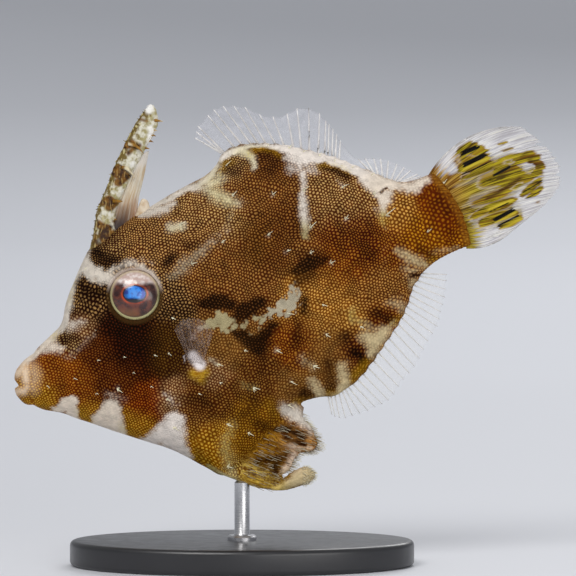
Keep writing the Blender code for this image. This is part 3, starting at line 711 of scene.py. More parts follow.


# Markings, as chains of (x, y, radius) beads in the photograph's pixels, each with a strength and a softness,
# painted one by one. Cream lightens net and dots, dark sinks them, olive turns them golden green.

creamMarks = {
    "backRidge": ([(216, 161, 3), (228, 154, 4), (240, 149, 4), (252, 146, 3), (264, 145, 3),
        (280, 147, 4), (296, 152, 6), (312, 157, 6), (330, 160, 3), (346, 166, 4), (362, 173, 6),
        (378, 181, 7), (394, 186, 6)], 1.0, 3.5),
    "ridgeTop": ([(314, 152, 4), (330, 155, 4), (346, 161, 4), (356, 166, 3)], 1.0, 3),
    "napeEdge": ([(140, 216, 2), (150, 207, 4), (165, 199, 4), (180, 193, 3), (196, 186, 4),
        (209, 176, 4), (217, 166, 3)], 1.0, 4),
    "nape": ([(146, 214, 4), (156, 211, 6), (166, 208, 6), (173, 203, 4)], 0.8, 6),
    "napeFlush": ([(196, 189, 4), (208, 184, 9), (219, 178, 8)], 0.7, 9),
    "shoulder": ([(236, 152, 5), (246, 153, 6), (252, 160, 4), (254, 167, 2.5)], 0.9, 5),
    "saddle": ([(202, 188, 4), (214, 194, 8), (227, 199, 8), (238, 204, 5)], 0.74, 10),
    "neckSpot": ([(171, 227, 6), (182, 226, 5)], 0.75, 6),
    "slantBand": ([(172, 276, 6), (181, 268, 8), (191, 261, 7), (202, 252, 7), (213, 243, 5)], 0.5, 9),
    "slantFade": ([(216, 240, 5), (226, 229, 6), (232, 215, 6)], 0.3, 8),
    "browBand": ([(82, 264, 8), (91, 270, 9), (100, 275, 8), (110, 279, 6)], 0.95, 5),
    "aboveEye": ([(112, 271, 5), (121, 266, 4), (131, 264, 4), (141, 267, 5), (151, 273, 5),
        (158, 282, 4)], 0.75, 6),
    "aboveEyeFlush": ([(140, 257, 5), (153, 262, 6)], 0.28, 7),
    "faceEdge": ([(89, 246, 4), (80, 262, 6), (73, 284, 6), (68, 304, 6), (61, 322, 7), (50, 338, 6),
        (38, 350, 4), (30, 355, 5), (24, 362, 4)], 0.9, 4),
    "snoutPatch": ([(65, 324, 6), (74, 327, 8), (83, 324, 4)], 0.62, 8),
    "snoutPatchTwo": ([(42, 350, 5), (50, 347, 7), (61, 350, 5)], 0.78, 7),
    "cheekLine": ([(68, 358, 4), (78, 348, 5), (86, 339, 5), (92, 333, 4)], 0.34, 7),
    "throatOne": ([(55, 408, 3), (60, 408, 5), (66, 405, 7), (72, 404, 6), (72, 418, 6)], 1.0, 3.5),
    "throatTwo": ([(94, 424, 5), (98, 420, 8), (110, 410, 10), (117, 427, 9), (122, 432, 6),
        (104, 426, 9)], 1.0, 5),
    "chestPale": ([(143, 440, 4), (150, 441, 8), (163, 434, 11), (175, 422, 10), (172, 440, 13),
        (186, 456, 5)], 0.95, 6),
    "chestFade": ([(176, 404, 5), (168, 396, 5)], 0.42, 8),
    "throatFade": ([(108, 396, 6), (124, 400, 5)], 0.35, 7),
    "bellyStreak": ([(232, 424, 5), (226, 440, 7), (226, 455, 8), (229, 466, 8), (236, 474, 6)], 0.55, 9),
    "keelEdge": ([(208, 467, 2), (224, 476, 3), (240, 484, 3), (256, 489, 2)], 0.9, 3),
    "flapCream": ([(285, 407, 5), (294, 413, 9), (304, 422, 8), (310, 431, 4)], 0.9, 8),
    "flapBetween": ([(288, 447, 4), (300, 448, 4), (311, 447, 3)], 0.6, 5),
    "flapNotch": ([(293, 456, 5), (291, 466, 6), (283, 471, 3)], 0.9, 4),
    "hook": ([(300, 476, 10), (309, 476, 8), (286, 487, 6), (272, 489, 3)], 0.95, 4),
    "midHalo": ([(244, 385, 6), (255, 388, 6)], 0.42, 9),
    "sideHalo": ([(304, 359, 6), (312, 366, 7)], 0.45, 9),
    "sidePatch": ([(313, 383, 6), (320, 395, 8)], 0.75, 9),
    "rearOne": ([(342, 366, 4), (343, 378, 7), (341, 391, 8), (333, 396, 3)], 0.8, 8),
    "rearTwo": ([(366, 336, 7), (375, 341, 10), (383, 334, 9), (392, 324, 4), (371, 353, 6)], 0.85, 9),
    "rearTwoFade": ([(357, 322, 5), (372, 328, 5)], 0.55, 7),
    "rearHaze": ([(351, 312, 6), (352, 322, 5)], 0.5, 7),
    "rearThree": ([(388, 301, 4), (400, 304, 7), (404, 312, 5)], 0.55, 9),
    "haloTop": ([(342, 185, 4), (336, 183, 4)], 0.35, 6),
    "stalkUnder": ([(399, 250, 4), (411, 257, 7), (424, 264, 6)], 0.68, 8),
    "stalkUnderFade": ([(386, 246, 5), (380, 290, 2)], 0.2, 8),
    "stalkUnderTwo": ([(404, 266, 4), (414, 272, 7), (412, 284, 6)], 0.55, 8),
    "stalkMargin": ([(428, 257, 3), (442, 251, 4), (456, 247, 4)], 0.45, 6),
    "stalkTop": ([(396, 186, 5), (411, 188, 7), (420, 183, 6), (428, 178, 4)], 0.85, 6),
    "junction": ([(286, 156, 5), (300, 161, 8), (315, 160, 6)], 0.8, 7),
    "junctionFlush": ([(290, 168, 6), (314, 169, 5)], 0.5, 6),
    "bar": ([(302, 172, 4), (303, 184, 4), (303, 198, 4), (304, 208, 5), (305, 217, 6), (306, 228, 5),
        (306, 238, 3)], 0.76, 5),
    "triangle": ([(363, 180, 5), (376, 186, 8), (386, 195, 8), (384, 207, 5), (384, 217, 3)], 0.92, 6),
    "triangleFade": ([(376, 208, 4), (384, 226, 4)], 0.45, 7),
    "armpitFade": ([(199, 330, 3), (190, 338, 3)], 0.5, 4),
    "finFleck": ([(184, 356, 1), (186, 363, 1)], 0.8, 2),
    "finRear": ([(210, 360, 4), (218, 364, 4)], 0.55, 5),
}
tornMarks = {  # the grey patches along the side, torn at their edges
    "armpit": ([(202, 328, 2), (210, 324, 5), (221, 318, 6.5), (231, 324, 6), (222, 329, 5)], 1.0, 1.6),
    "cloud": ([(270, 312, 4), (279, 308, 7), (290, 306, 8), (295, 301, 5)], 1.0, 1.6),
    "cloudUp": ([(292, 294, 5), (296, 284, 3)], 0.9, 3),
    "ragOne": ([(241, 318, 1.5), (247, 320, 2.5), (244, 326, 2)], 0.95, 1.6),
    "ragTwo": ([(249, 331, 2), (256, 333, 1.5)], 0.9, 1.6),
    "ragThree": ([(255, 317, 2.5), (262, 319, 3), (268, 316, 3)], 0.95, 1.6),
    "ragFour": ([(262, 326, 1.5), (266, 330, 1)], 0.85, 1.6),
}
darkMarks = {
    "spineFoot": ([(98, 228, 7), (103, 240, 9), (112, 232, 8)], 0.5, 6),
    "brow": ([(96, 252, 6), (104, 261, 8), (114, 262, 6)], 0.8, 5),
    "eyeRear": ([(167, 262, 5), (173, 257, 4)], 0.9, 5),
    "eyeRearTwo": ([(188, 247, 4), (196, 245, 3)], 0.6, 5),
    "eyeFront": ([(82, 284, 5), (90, 292, 8), (100, 292, 7), (104, 284, 4)], 0.6, 6),
    "eyeFrontLow": ([(72, 316, 4), (84, 312, 4)], 0.55, 5),
    "snoutSpot": ([(60, 341, 3), (68, 340, 5), (76, 337, 3)], 0.6, 4),
    "cheek": ([(114, 324, 12), (134, 336, 18), (150, 346, 12), (128, 356, 10)], 0.6, 14),
    "backOne": ([(259, 157, 5), (268, 156, 6), (276, 162, 5), (268, 172, 6)], 0.5, 6),
    "backTwo": ([(325, 167, 3), (336, 170, 4), (346, 176, 4)], 0.85, 4),
    "shoulderSpot": ([(228, 168, 4), (236, 171, 4)], 0.5, 4),
    "midBlack": ([(294, 272, 6), (304, 265, 9), (314, 261, 9), (322, 261, 6)], 1.0, 5),
    "midBlackLow": ([(298, 280, 7), (312, 272, 6)], 0.7, 7),
    "lowBlack": ([(205, 303, 6), (218, 303, 9), (230, 304, 7)], 1.0, 4),
    "lowBlackRear": ([(240, 309, 7), (250, 307, 8), (260, 303, 6), (238, 317, 4)], 1.0, 4),
    "underArmpit": ([(235, 332, 4), (244, 335, 7), (252, 343, 8), (260, 350, 7), (263, 340, 8),
        (268, 331, 6), (274, 324, 4)], 1.0, 4),
    "underArmpitLow": ([(263, 360, 5), (262, 370, 4)], 0.55, 7),
    "cloudEdge": ([(304, 300, 4), (302, 312, 4)], 0.9, 4),
    "cloudEdgeLow": ([(298, 324, 6), (297, 342, 6)], 0.55, 7),
    "armShade": ([(170, 308, 7), (196, 312, 6)], 0.35, 8),
    "bellyDark": ([(196, 402, 8), (210, 406, 8)], 0.45, 9),
    "bellyDarkTwo": ([(254, 400, 6), (244, 415, 7)], 0.4, 9),
    "rearMaroon": ([(364, 243, 6), (370, 254, 7)], 0.4, 9),
    "rearSpot": ([(344, 338, 5), (350, 342, 4)], 0.65, 6),
    "rearSpotTwo": ([(354, 352, 7), (361, 359, 6)], 0.85, 5),
    "rearSpotThree": ([(378, 314, 6), (387, 318, 5)], 0.8, 6),
    "rearStreak": ([(330, 362, 5), (331, 378, 4), (332, 388, 4)], 0.6, 5),
    "flapDark": ([(276, 428, 3), (290, 432, 4), (304, 439, 3)], 0.95, 3),
    "flapDarkLow": ([(286, 438, 2), (297, 442, 3), (306, 445, 2)], 0.9, 3),
    "flapShade": ([(262, 424, 6), (274, 428, 4)], 0.5, 5),
    "hookFleck": ([(291, 474, 2), (300, 469, 2)], 0.5, 4),
    "flapDarkTwo": ([(258, 462, 4), (272, 460, 5), (286, 457, 4), (274, 469, 6)], 0.8, 5),
    "tailSpot": ([(382, 191, 2), (387, 189, 1.5)], 1.0, 2),
    "stalkEdge": ([(420, 250, 4), (430, 256, 4)], 0.55, 5),
    "finEnd": ([(412, 275, 2), (424, 274, 2)], 0.9, 2),
    "marginOne": ([(303, 394, 5), (309, 394, 4)], 0.7, 4),
    "stalkDark": ([(436, 196, 8), (448, 212, 9)], 0.3, 10),
}
oliveMarks = {
    "backRimOne": ([(249, 158, 2), (254, 151, 3), (264, 149, 3), (274, 151, 3), (280, 157, 2)], 0.9, 3),
    "backRimTwo": ([(319, 165, 2), (330, 163, 2), (344, 167, 2), (350, 172, 2)], 0.9, 3),
    "shoulderRim": ([(221, 172, 4), (222, 164, 4), (232, 162, 2)], 0.8, 4),
    "browOne": ([(75, 279, 3), (72, 292, 3), (70, 302, 3)], 0.6, 4),
    "snoutEdge": ([(52, 338, 3), (55, 336, 3)], 0.8, 3),
    "chin": ([(38, 404, 4), (48, 405, 4)], 0.6, 4),
    "throat": ([(80, 413, 4), (86, 420, 5)], 0.8, 4),
    "chestRim": ([(124, 428, 4), (132, 434, 5), (138, 441, 3)], 0.85, 5),
    "belly": ([(192, 456, 4), (204, 463, 6), (214, 470, 3)], 0.7, 5),
    "flapEdge": ([(246, 478, 5), (258, 483, 5), (268, 486, 3)], 0.7, 5),
    "flapTop": ([(270, 404, 5), (280, 412, 4)], 0.4, 6),
    "marginOne": ([(296, 402, 3), (308, 401, 3)], 0.8, 4),
    "marginTwo": ([(330, 394, 4), (336, 395, 3)], 0.85, 4),
    "marginThree": ([(352, 379, 4), (360, 371, 5), (367, 362, 4)], 1.0, 4),
    "marginFour": ([(395, 322, 4), (399, 318, 3)], 0.85, 4),
    "stalkEdge": ([(436, 259, 3), (428, 262, 2)], 0.6, 4),
    "neck": ([(246, 230, 8), (262, 240, 10), (254, 256, 8)], 0.08, 12),
    "cheekRear": ([(165, 340, 10), (160, 362, 10)], 0.06, 12),
    "haloRear": ([(352, 318, 5)], 0.4, 6),
    "triangleEnd": ([(384, 222, 4)], 0.5, 6),
}
lipMarks = {
    "upper": ([(17, 372, 6), (23, 365, 5), (25, 373, 5), (26, 381, 4)], 1.0, 3.5),
    "lower": ([(17, 392, 4), (24, 391, 4), (27, 387, 3)], 1.0, 3.5),
    "around": ([(30, 360, 4), (34, 374, 6), (33, 389, 5)], 0.42, 6),
}
finRootMarks = {"golden": ([(194, 374, 5), (204, 372, 5), (201, 380, 4)], 0.95, 3.5)}
# A painted highlight on the hide at the foot of the breast fin's rays
finBaseHighlightMarks = {"finBaseHighlight": ([(193, 356, 5), (200, 365, 5.6)], 1.0, 2)}

tuftSpots = [  # where the skin bears tufts, in the photograph's pixels, and how big
    (232, 196, 1), (272, 195, 1), (303, 191, 1), (342, 188, 1), (309, 228, 1.6), (346, 219, 1),
    (385, 215, 1.8), (222, 242, 1), (268, 236, 1), (286, 252, 1), (331, 263, 1), (191, 264, 1),
    (178, 226, 1.6), (287, 314, 1), (360, 326, 1), (326, 334, 1), (276, 350, 1.5), (313, 365, 1.6),
    (291, 381, 1), (254, 388, 1.6), (288, 405, 1), (227, 424, 1.5), (117, 388, 1.1), (153, 354, 0.5),
    (168, 352, 0.5), (167, 399, 0.7), (73, 378, 0.5), (46, 385, 0.4), (73, 357, 0.5), (150, 386, 0.5),
    (174, 427, 1), (94, 329, 0.5), (96, 393, 0.5), (216, 364, 1), (244, 351, 0.7), (84, 270, 1.4),
    (73, 273, 0.7), (219, 382, 0.6), (198, 394, 0.6), (172, 317, 0.7), (123, 356, 0.4), (97, 360, 0.4),
    (132, 372, 0.4), (323, 305, 0.7), (310, 253, 1), (248, 432, 1), (227, 467, 1), (226, 167, 1),
    (445, 183, 0.8), (373, 195, 1), (427, 232, 0.8), (288, 148, 0.5), (303, 152, 0.5), (318, 156, 0.6),
    (334, 161, 0.5), (352, 168, 0.5), (371, 175, 0.5), (268, 146, 0.4),
]

# The paints of the hide: the net's own colour, its dots' colour, and where each is dabbed on as (x, y, reach)
hidePaints = {
    "umber": ("441a04", "c09664", [(150, 240, 22), (192, 242, 18)]),
    "sand": ("54280a", "c6a272", [(190, 214, 20), (230, 222, 16), (336, 200, 20)]),
    "honey": ("74400a", "d2a25c", [(328, 305, 24), (398, 214, 11)]),
    "coffee": ("220602", "a8845a", [(105, 258, 12), (88, 298, 13), (172, 300, 14)]),
    "walnut": ("40180a", "b8996c", [(110, 241, 10), (68, 339, 8), (233, 168, 10)]),
    "rust": ("602200", "a46c26", [(54, 370, 13), (72, 390, 16)]),
    "brick": ("520e00", "9c5818", [(145, 402, 13)]),
    "chestnut": ("3a0a00", "7a4a1c", [(116, 376, 16), (98, 350, 12)]),
    "soot": ("0c0000", "400c02", [(128, 342, 24)]),
    "moss": ("280800", "60441a", [(165, 345, 16)]),
    "dust": ("603418", "b49474", [(172, 400, 11), (214, 374, 11), (80, 328, 9)]),
    "tawny": ("4e2004", "a67a46", [(214, 262, 22), (240, 285, 20), (306, 250, 10), (196, 424, 12),
        (258, 195, 20)]),
    "bark": ("3a1200", "8a5e30", [(268, 168, 13), (258, 240, 20), (284, 222, 18)]),
    "maroon": ("3c0400", "8e5a20", [(368, 250, 14), (342, 235, 18), (350, 348, 10)]),
    "copper": ("541800", "a46e28", [(300, 342, 14), (342, 268, 18), (384, 315, 10), (388, 248, 12)]),
    "tan": ("603810", "9e7644", [(224, 346, 16), (290, 392, 12), (326, 348, 16)]),
    "fawn": ("5c2c06", "ba8a50", [(375, 290, 16), (290, 442, 10)]),
    "loam": ("441800", "8e6632", [(200, 404, 14), (226, 394, 12), (264, 392, 12), (255, 368, 12)]),
    "ochre": ("603400", "ac8028", [(262, 442, 16), (262, 416, 12), (246, 412, 10)]),
    "gold": ("824c00", "d0a440", [(200, 446, 18), (134, 428, 12), (44, 400, 12), (86, 412, 9)]),
    "straw": ("5e3000", "c8ae60", [(252, 478, 12)]),
    "amber": ("682e00", "bc8420", [(416, 232, 12), (430, 243, 9), (462, 240, 8)]),
    "toffee": ("5c1e00", "985c0c", [(440, 204, 13), (454, 226, 11), (466, 215, 7)]),
    "lip": ("925a14", "d8b070", [(36, 376, 7)]),
}
palePaints = {  # the cream of pale marks changes over the fish too
    "chalk": ("f0e6dc", [(300, 150, 50), (168, 436, 24)]),
    "ivory": ("e4d6c4", [(66, 408, 14), (108, 416, 16), (414, 184, 12), (378, 194, 16), (50, 348, 14)]),
    "bone": ("d8cec0", [(303, 200, 26), (172, 204, 26), (98, 272, 18), (134, 266, 14), (68, 310, 22),
        (298, 420, 20)]),
    "butter": ("d8cc9c", [(250, 158, 12), (222, 197, 16), (176, 227, 9), (236, 480, 14)]),
    "buff": ("d2be92", [(300, 478, 16), (318, 388, 12), (342, 382, 12), (372, 340, 14), (400, 306, 10),
        (412, 260, 18)]),
    "oliveCream": ("b0a062", [(307, 234, 10), (250, 386, 10), (352, 318, 10), (228, 450, 20),
        (384, 218, 7)]),
    "stone": ("a69a74", [(222, 322, 14), (252, 322, 10)]),
    "dove": ("b0a68e", [(284, 308, 16), (186, 262, 18), (215, 363, 8)]),
    "blush": ("dcc0ac", [(290, 462, 10)]),
    "dusk": ("a08c84", [(82, 344, 8), (194, 336, 8)]),
    "oldGold": ("d8bc68", [(276, 488, 8)]),
    # the pale of the painted highlight at the foot of the breast fin
    "finBaseHighlight": ("dcd4d4", [(186, 360, 8)]),
}


def blendPaints(px, py, paints, column):
    total = np.zeros((len(px), 3))
    weight = np.full(len(px), 1e-12)
    for paint in paints.values():
        for dabX, dabY, reach in paint[-1]:
            away = ((px - dabX) ** 2 + (py - dabY) ** 2) / reach ** 2
            near = np.exp(-away) + 1e-3 / (1 + away) ** 2
            total += near[:, None] * np.array(tintOf(paint[column]))
            weight += near
    return total / weight[:, None]


def coarseness(px, py):  # how wide apart the dots of the net stand, from 0 to 1
    behind = smoothStep(190, 250, px)
    coarse = 0.02 + 0.15 * behind * smoothStep(275, 325, py)
    coarse += 0.25 * smoothStep(335, 365, px) * smoothStep(280, 305, py)
    above = smoothStep(290, 262, py)
    coarse += above * (0.34 * smoothStep(384, 398, px) + 0.14 * smoothStep(405, 420, px))
    coarse += 0.12 * smoothStep(14, 2, chainDistance(px, py, [(434, 205, 4), (438, 222, 4)]))
    coarse += 0.5 * smoothStep(14, 4, chainDistance(px, py, [(84, 290, 6), (96, 296, 6), (82, 308, 5)]))
    coarse += 0.5 * smoothStep(12, 2, chainDistance(px, py, [(202, 440, 8), (208, 460, 8)]))
    return np.clip(coarse, 0, 1)


def eyeLid(at):  # the rim of skin round the eye, and how high up on it a point lies
    flank = np.abs(at[:, 1]) > 2.5
    across = at[:, 0] - headShape["eyeCentre"][0]
    up = (at[:, 2] - headShape["eyeCentre"][2]) / math.cos(math.radians(headShape["eyeTilt"]))
    rim = smoothStep(4.62, 4.25, np.hypot(across, up)) * flank
    return rim, smoothStep(0.3, 2.6, up), np.zeros(len(at))


hidePaint = {
    # how widely, how far and from which seed the markings wander, then how many pixels a step of it is
    "drifts": [(0.30, 0.5, 21.0), (0.95, 0.3, 40.0), (2.4, 0.2, 60.0)],
    "farDrift": (0.09, 3.2, 77.0),
    "pixels": 6.4,
    "tear": (1.3, 7.0, 90.0),
    # x and half width of the body, for laying the net flat
    "widest": ([-35, -28, -15, 0, 12, 25, 35], [2.4, 4.6, 6.2, 5.8, 4.6, 2.8, 1.6]),
    "netSpacings": ((0.51, 1.15), (0.61, 1.1), (0.74, 1.0), (0.92, 0.9)),
}


def paintHide(hide):
    mesh = hide.data
    at = vertexArray(mesh) / mm
    out = vertexArray(mesh, "normal")
    x, y, z = at.T
    drift = sum(wander(at, *values) for values in hidePaint["drifts"]) * hidePaint["pixels"]
    farSide = y > 0
    # The unseen right side wears its own variant
    drift[farSide] += wander(at[farSide], *hidePaint["farDrift"]) * hidePaint["pixels"]
    sharpX, sharpY = seenAt(at)
    px, py = sharpX + drift[:, 0], sharpY - drift[:, 2]
    halo = {str(spot): ([(spot[0], spot[1], 3)], 0.36 * spot[2], 6) for spot in tuftSpots if spot[2] > 0.8}
    tear = wander(at, *hidePaint["tear"])
    torn = markLayer(px + tear[:, 0], py + tear[:, 2], tornMarks)
    cream = np.maximum(np.maximum(markLayer(px, py, creamMarks), torn), markLayer(sharpX, sharpY, halo))
    dark = np.minimum(1.3 * markLayer(px, py, darkMarks), 1.0)
    cream *= 1 - 0.85 * dark
    olive = markLayer(px, py, oliveMarks)
    addChannels(mesh, "pigment", cream, dark, olive)
    trims = (lipMarks, finRootMarks, finBaseHighlightMarks)
    addChannels(mesh, "trim", *(markLayer(sharpX, sharpY, marks) for marks in trims))
    tints = (("netTint", hidePaints, 0), ("dotTint", hidePaints, 1), ("paleTint", palePaints, 0))
    for name, paints, column in tints:
        addLayer(mesh, name, "FLOAT_COLOR", blendPaints(px, py, paints, column))
    addChannels(mesh, "lid", *eyeLid(at))
    root = smoothStep(-0.4, 1.2, beyondStalk(x, z))
    addChannels(mesh, "streak", flapStreak(x, z), root, coarseness(px, py))
    # The dot net is laid flat on each flank and runs on round the back and belly edges
    widest = np.interp(x, *hidePaint["widest"])
    roll = 0.57 * np.clip(widest - np.abs(y), 0, 6)
    # and the right side's net is cut from another part of it
    lie = np.stack([x + out[:, 0] * roll, z + out[:, 2] * roll, np.where(farSide, 60.0, 0.0)], 1)
    addLayer(mesh, "lie", "FLOAT_VECTOR", lie)


stalkEnd = {
    "x": 29.6, "z": 60.0, "heading": (0.88, 0.47), "bow": 1.2, "top": 61.4, "height": 11.2, "back": 0.4,
}


def beyondStalk(x, z):  # how far a point lies past the bowed line where the stalk runs out into the tail
    bow = stalkEnd["bow"] * np.sin(np.clip((stalkEnd["top"] - z) / stalkEnd["height"], 0, 1) * math.pi)
    ahead = (x - stalkEnd["x"]) * stalkEnd["heading"][0] + (z - stalkEnd["z"]) * stalkEnd["heading"][1]
    return ahead - bow + stalkEnd["back"]


def hideMaterial():
    material, w = newMaterial("velvet hide", Specular_IOR_Level=0.05, Specular_Tint=(1.0, 0.75, 0.5))
    lie = w.attribute("lie", "Vector")
    cream, dark, olive = w.split("pigment")
    lips, finRoot, finBaseHighlight = w.split("trim")
    lid, lidTop, _ = w.split("lid")
    streak, tailRoot, coarse = w.split("streak")
    netTint, dotTint, paleTint = (w.attribute(name) for name in ("netTint", "dotTint", "paleTint"))
    nets = [
        w.group(dotGroup, Vector=lie, Spacing=gap, Wander=loose)[0]
        for gap, loose in hidePaint["netSpacings"]
    ]
    pick = w.plus(coarse, w.line(w.noise(lie, 0.55), 0.2, -0.1))
    dots = nets[0]
    for number, net in enumerate(nets[1:]):
        dots = w.mix(w.ramp(pick, 0.16 + 0.33 * number, 0.22 + 0.33 * number), dots, net)
    # No two dots are quite as bright
    uneven = w.line(w.noise(lie, 1.3, 3.0), 0.9, 0.55)
    dots = w.times(dots, uneven)
    stretched = w.mapping(lie, (0.32, 2.6, 1.0), math.radians(19))
    lines = w.ramp(w.noise(stretched, 1.35, 3.0), 0.30, 0.70, kind="LINEAR")
    pattern = w.mix(w.times(streak, 0.85), dots, lines)
    # Pale spreads from the dots outwards until the net is gone
    ragged = w.line(w.noise(lie, 1.6, 3.0), 0.5, -0.25)
    creamAmount = w.plus(cream, w.times(ragged, w.ramp(cream, 0.0, 0.25)), clamp=True)
    darkAmount = w.plus(dark, w.times(ragged, w.ramp(dark, 0.0, 0.3)), clamp=True)
    level = w.line(creamAmount, -0.28, 0.51)
    level = w.line(darkAmount, 0.2, level)
    pale = w.ramp(w.maths("SUBTRACT", pattern, level), -0.38, 0.38)
    mottle = w.group(grainGroup, Vector=lie, Scale=2.4)[1]
    netColour = w.mix(w.times(darkAmount, 0.92), netTint, "0c0300")
    deeper = w.mix(1.0, netColour, "9a7044", "MULTIPLY")
    netColour = w.mix(w.ramp(mottle, 0.0, 1.0, 0.0, 0.5, "LINEAR"), netColour, deeper)
    netColour = w.mix(w.times(olive, 0.85), netColour, "7c5600")
    cloudy = w.ramp(w.noise(lie, 0.95, 4.0), 0.3, 0.7, 0.76, 1.08, "LINEAR")
    cloudyPale = w.vector("SCALE", paleTint, scale=cloudy)
    netColour = w.mix(w.ramp(creamAmount, 0.12, 0.88, 0.0, 0.95), netColour, cloudyPale)
    dotColour = w.mix(1.0, dotTint, "fffad8", "MULTIPLY")
    dotColour = w.mix(w.times(darkAmount, 0.85), dotColour, "44200c")
    dotColour = w.mix(w.times(olive, 0.7), dotColour, "b89020")
    paleColour = w.mix(w.times(olive, 0.75), cloudyPale, "c2ae3c")
    paleColour = w.mix(w.ramp(creamAmount, 0.05, 0.7), dotColour, paleColour)
    colour = w.mix(pale, netColour, paleColour)
    # Soft clouds of darker and lighter brown a few dots wide
    clouds = w.ramp(w.noise(lie, 0.62, 4.0), 0.28, 0.72, 0.68, 1.28, "LINEAR")
    clouds = w.mix(w.ramp(creamAmount, 0.2, 0.8), clouds, (1.0, 1.0, 1.0))
    colour = w.mix(1.0, colour, clouds, "MULTIPLY")
    # Lips, the golden root of the breast fin and a painted highlight at the foot of its rays
    lipSpots = w.ramp(w.noise(lie, 1.1), 0.5, 0.68)
    lipColour = w.mix(w.times(lipSpots, 0.4), "e4ccb0", "c08a48")
    colour = w.mix(w.times(lips, 0.92), colour, lipColour)
    golden = w.mix(w.ramp(w.noise(stretched, 2.2), 0.35, 0.65), "8c5a04", "c8a02c")
    colour = w.mix(finRoot, colour, golden)
    # The painted highlight at the foot of the breast fin: pale pinkish white, and a little glossier below
    colour = w.mix(finBaseHighlight, colour, "e6dede")
    # The lid is a soft olive rim, pinkish white over the top of the eye
    lidColour = w.mix(lidTop, "3c2810", "d4c4b8")
    colour = w.mix(w.times(lid, 0.8), colour, lidColour)
    # The stalk runs out into the tail without dots
    rootColour = w.mix(w.ramp(w.noise(stretched, 1.8), 0.3, 0.7), "5c2c04", "9c6c20")
    colour = w.mix(w.times(tailRoot, 0.8), colour, rootColour)
    w.feed(Base_Color=colour)
    rough = w.ramp(pattern, 0.0, 1.0, 0.5, 0.66, "LINEAR")
    rough = w.line(finBaseHighlight, -0.3, rough)
    w.feed(Roughness=w.line(lips, -0.15, rough))
    grain = w.group(grainGroup, Vector=lie, Scale=5.0)[0]
    height = w.plus(w.times(pattern, 0.8), w.times(grain, 0.5))
    w.feed(Normal=w.bump(height, 0.06 * mm, 0.8))
    return material


carveHide(hide)
paintHide(hide)
finishPiece(hide, hideMaterial(), "skin", "head", "trunk", "tail_stalk", "ventral_flap", "pelvic_rudiment")

# Skin tufts, the bristles of the flap and its fringe, each hair a curved tapering strand

tuftShape = {
    "hairs": (3, 5),
    "length": (0.8, 1.35),
    "points": 5,
    "thick": 0.085,
    "tip": 0.02,
    "patch": 0.003,
    "seed": 5,
}
fringeShape = {
    "margin": 150,
    "length": (0.8, 1.7),
    # on the flap's sides and on the hooked end below it
    "flat": {"count": 380, "length": (0.7, 1.3), "tone": (0.05, 0.65), "out": 0.2, "stray": 0.15},
    "hook": {"count": 180, "length": (0.3, 0.6), "tone": (0.5, 1.0), "out": 1.0, "stray": 0.3},
    "thick": 0.04,
    "rear": (0.94, 0, -0.34),
}


def hairPath(root, lean, bend, length, points):  # from its root along lean, turning steadily towards bend
    path = [root]
    for step in range(1, points):
        t = step / (points - 1)
        heading = (lean * (1 - 0.75 * t) + bend * 0.9 * t).normalized()
        path.append(path[-1] + heading * length / (points - 1))
    return path


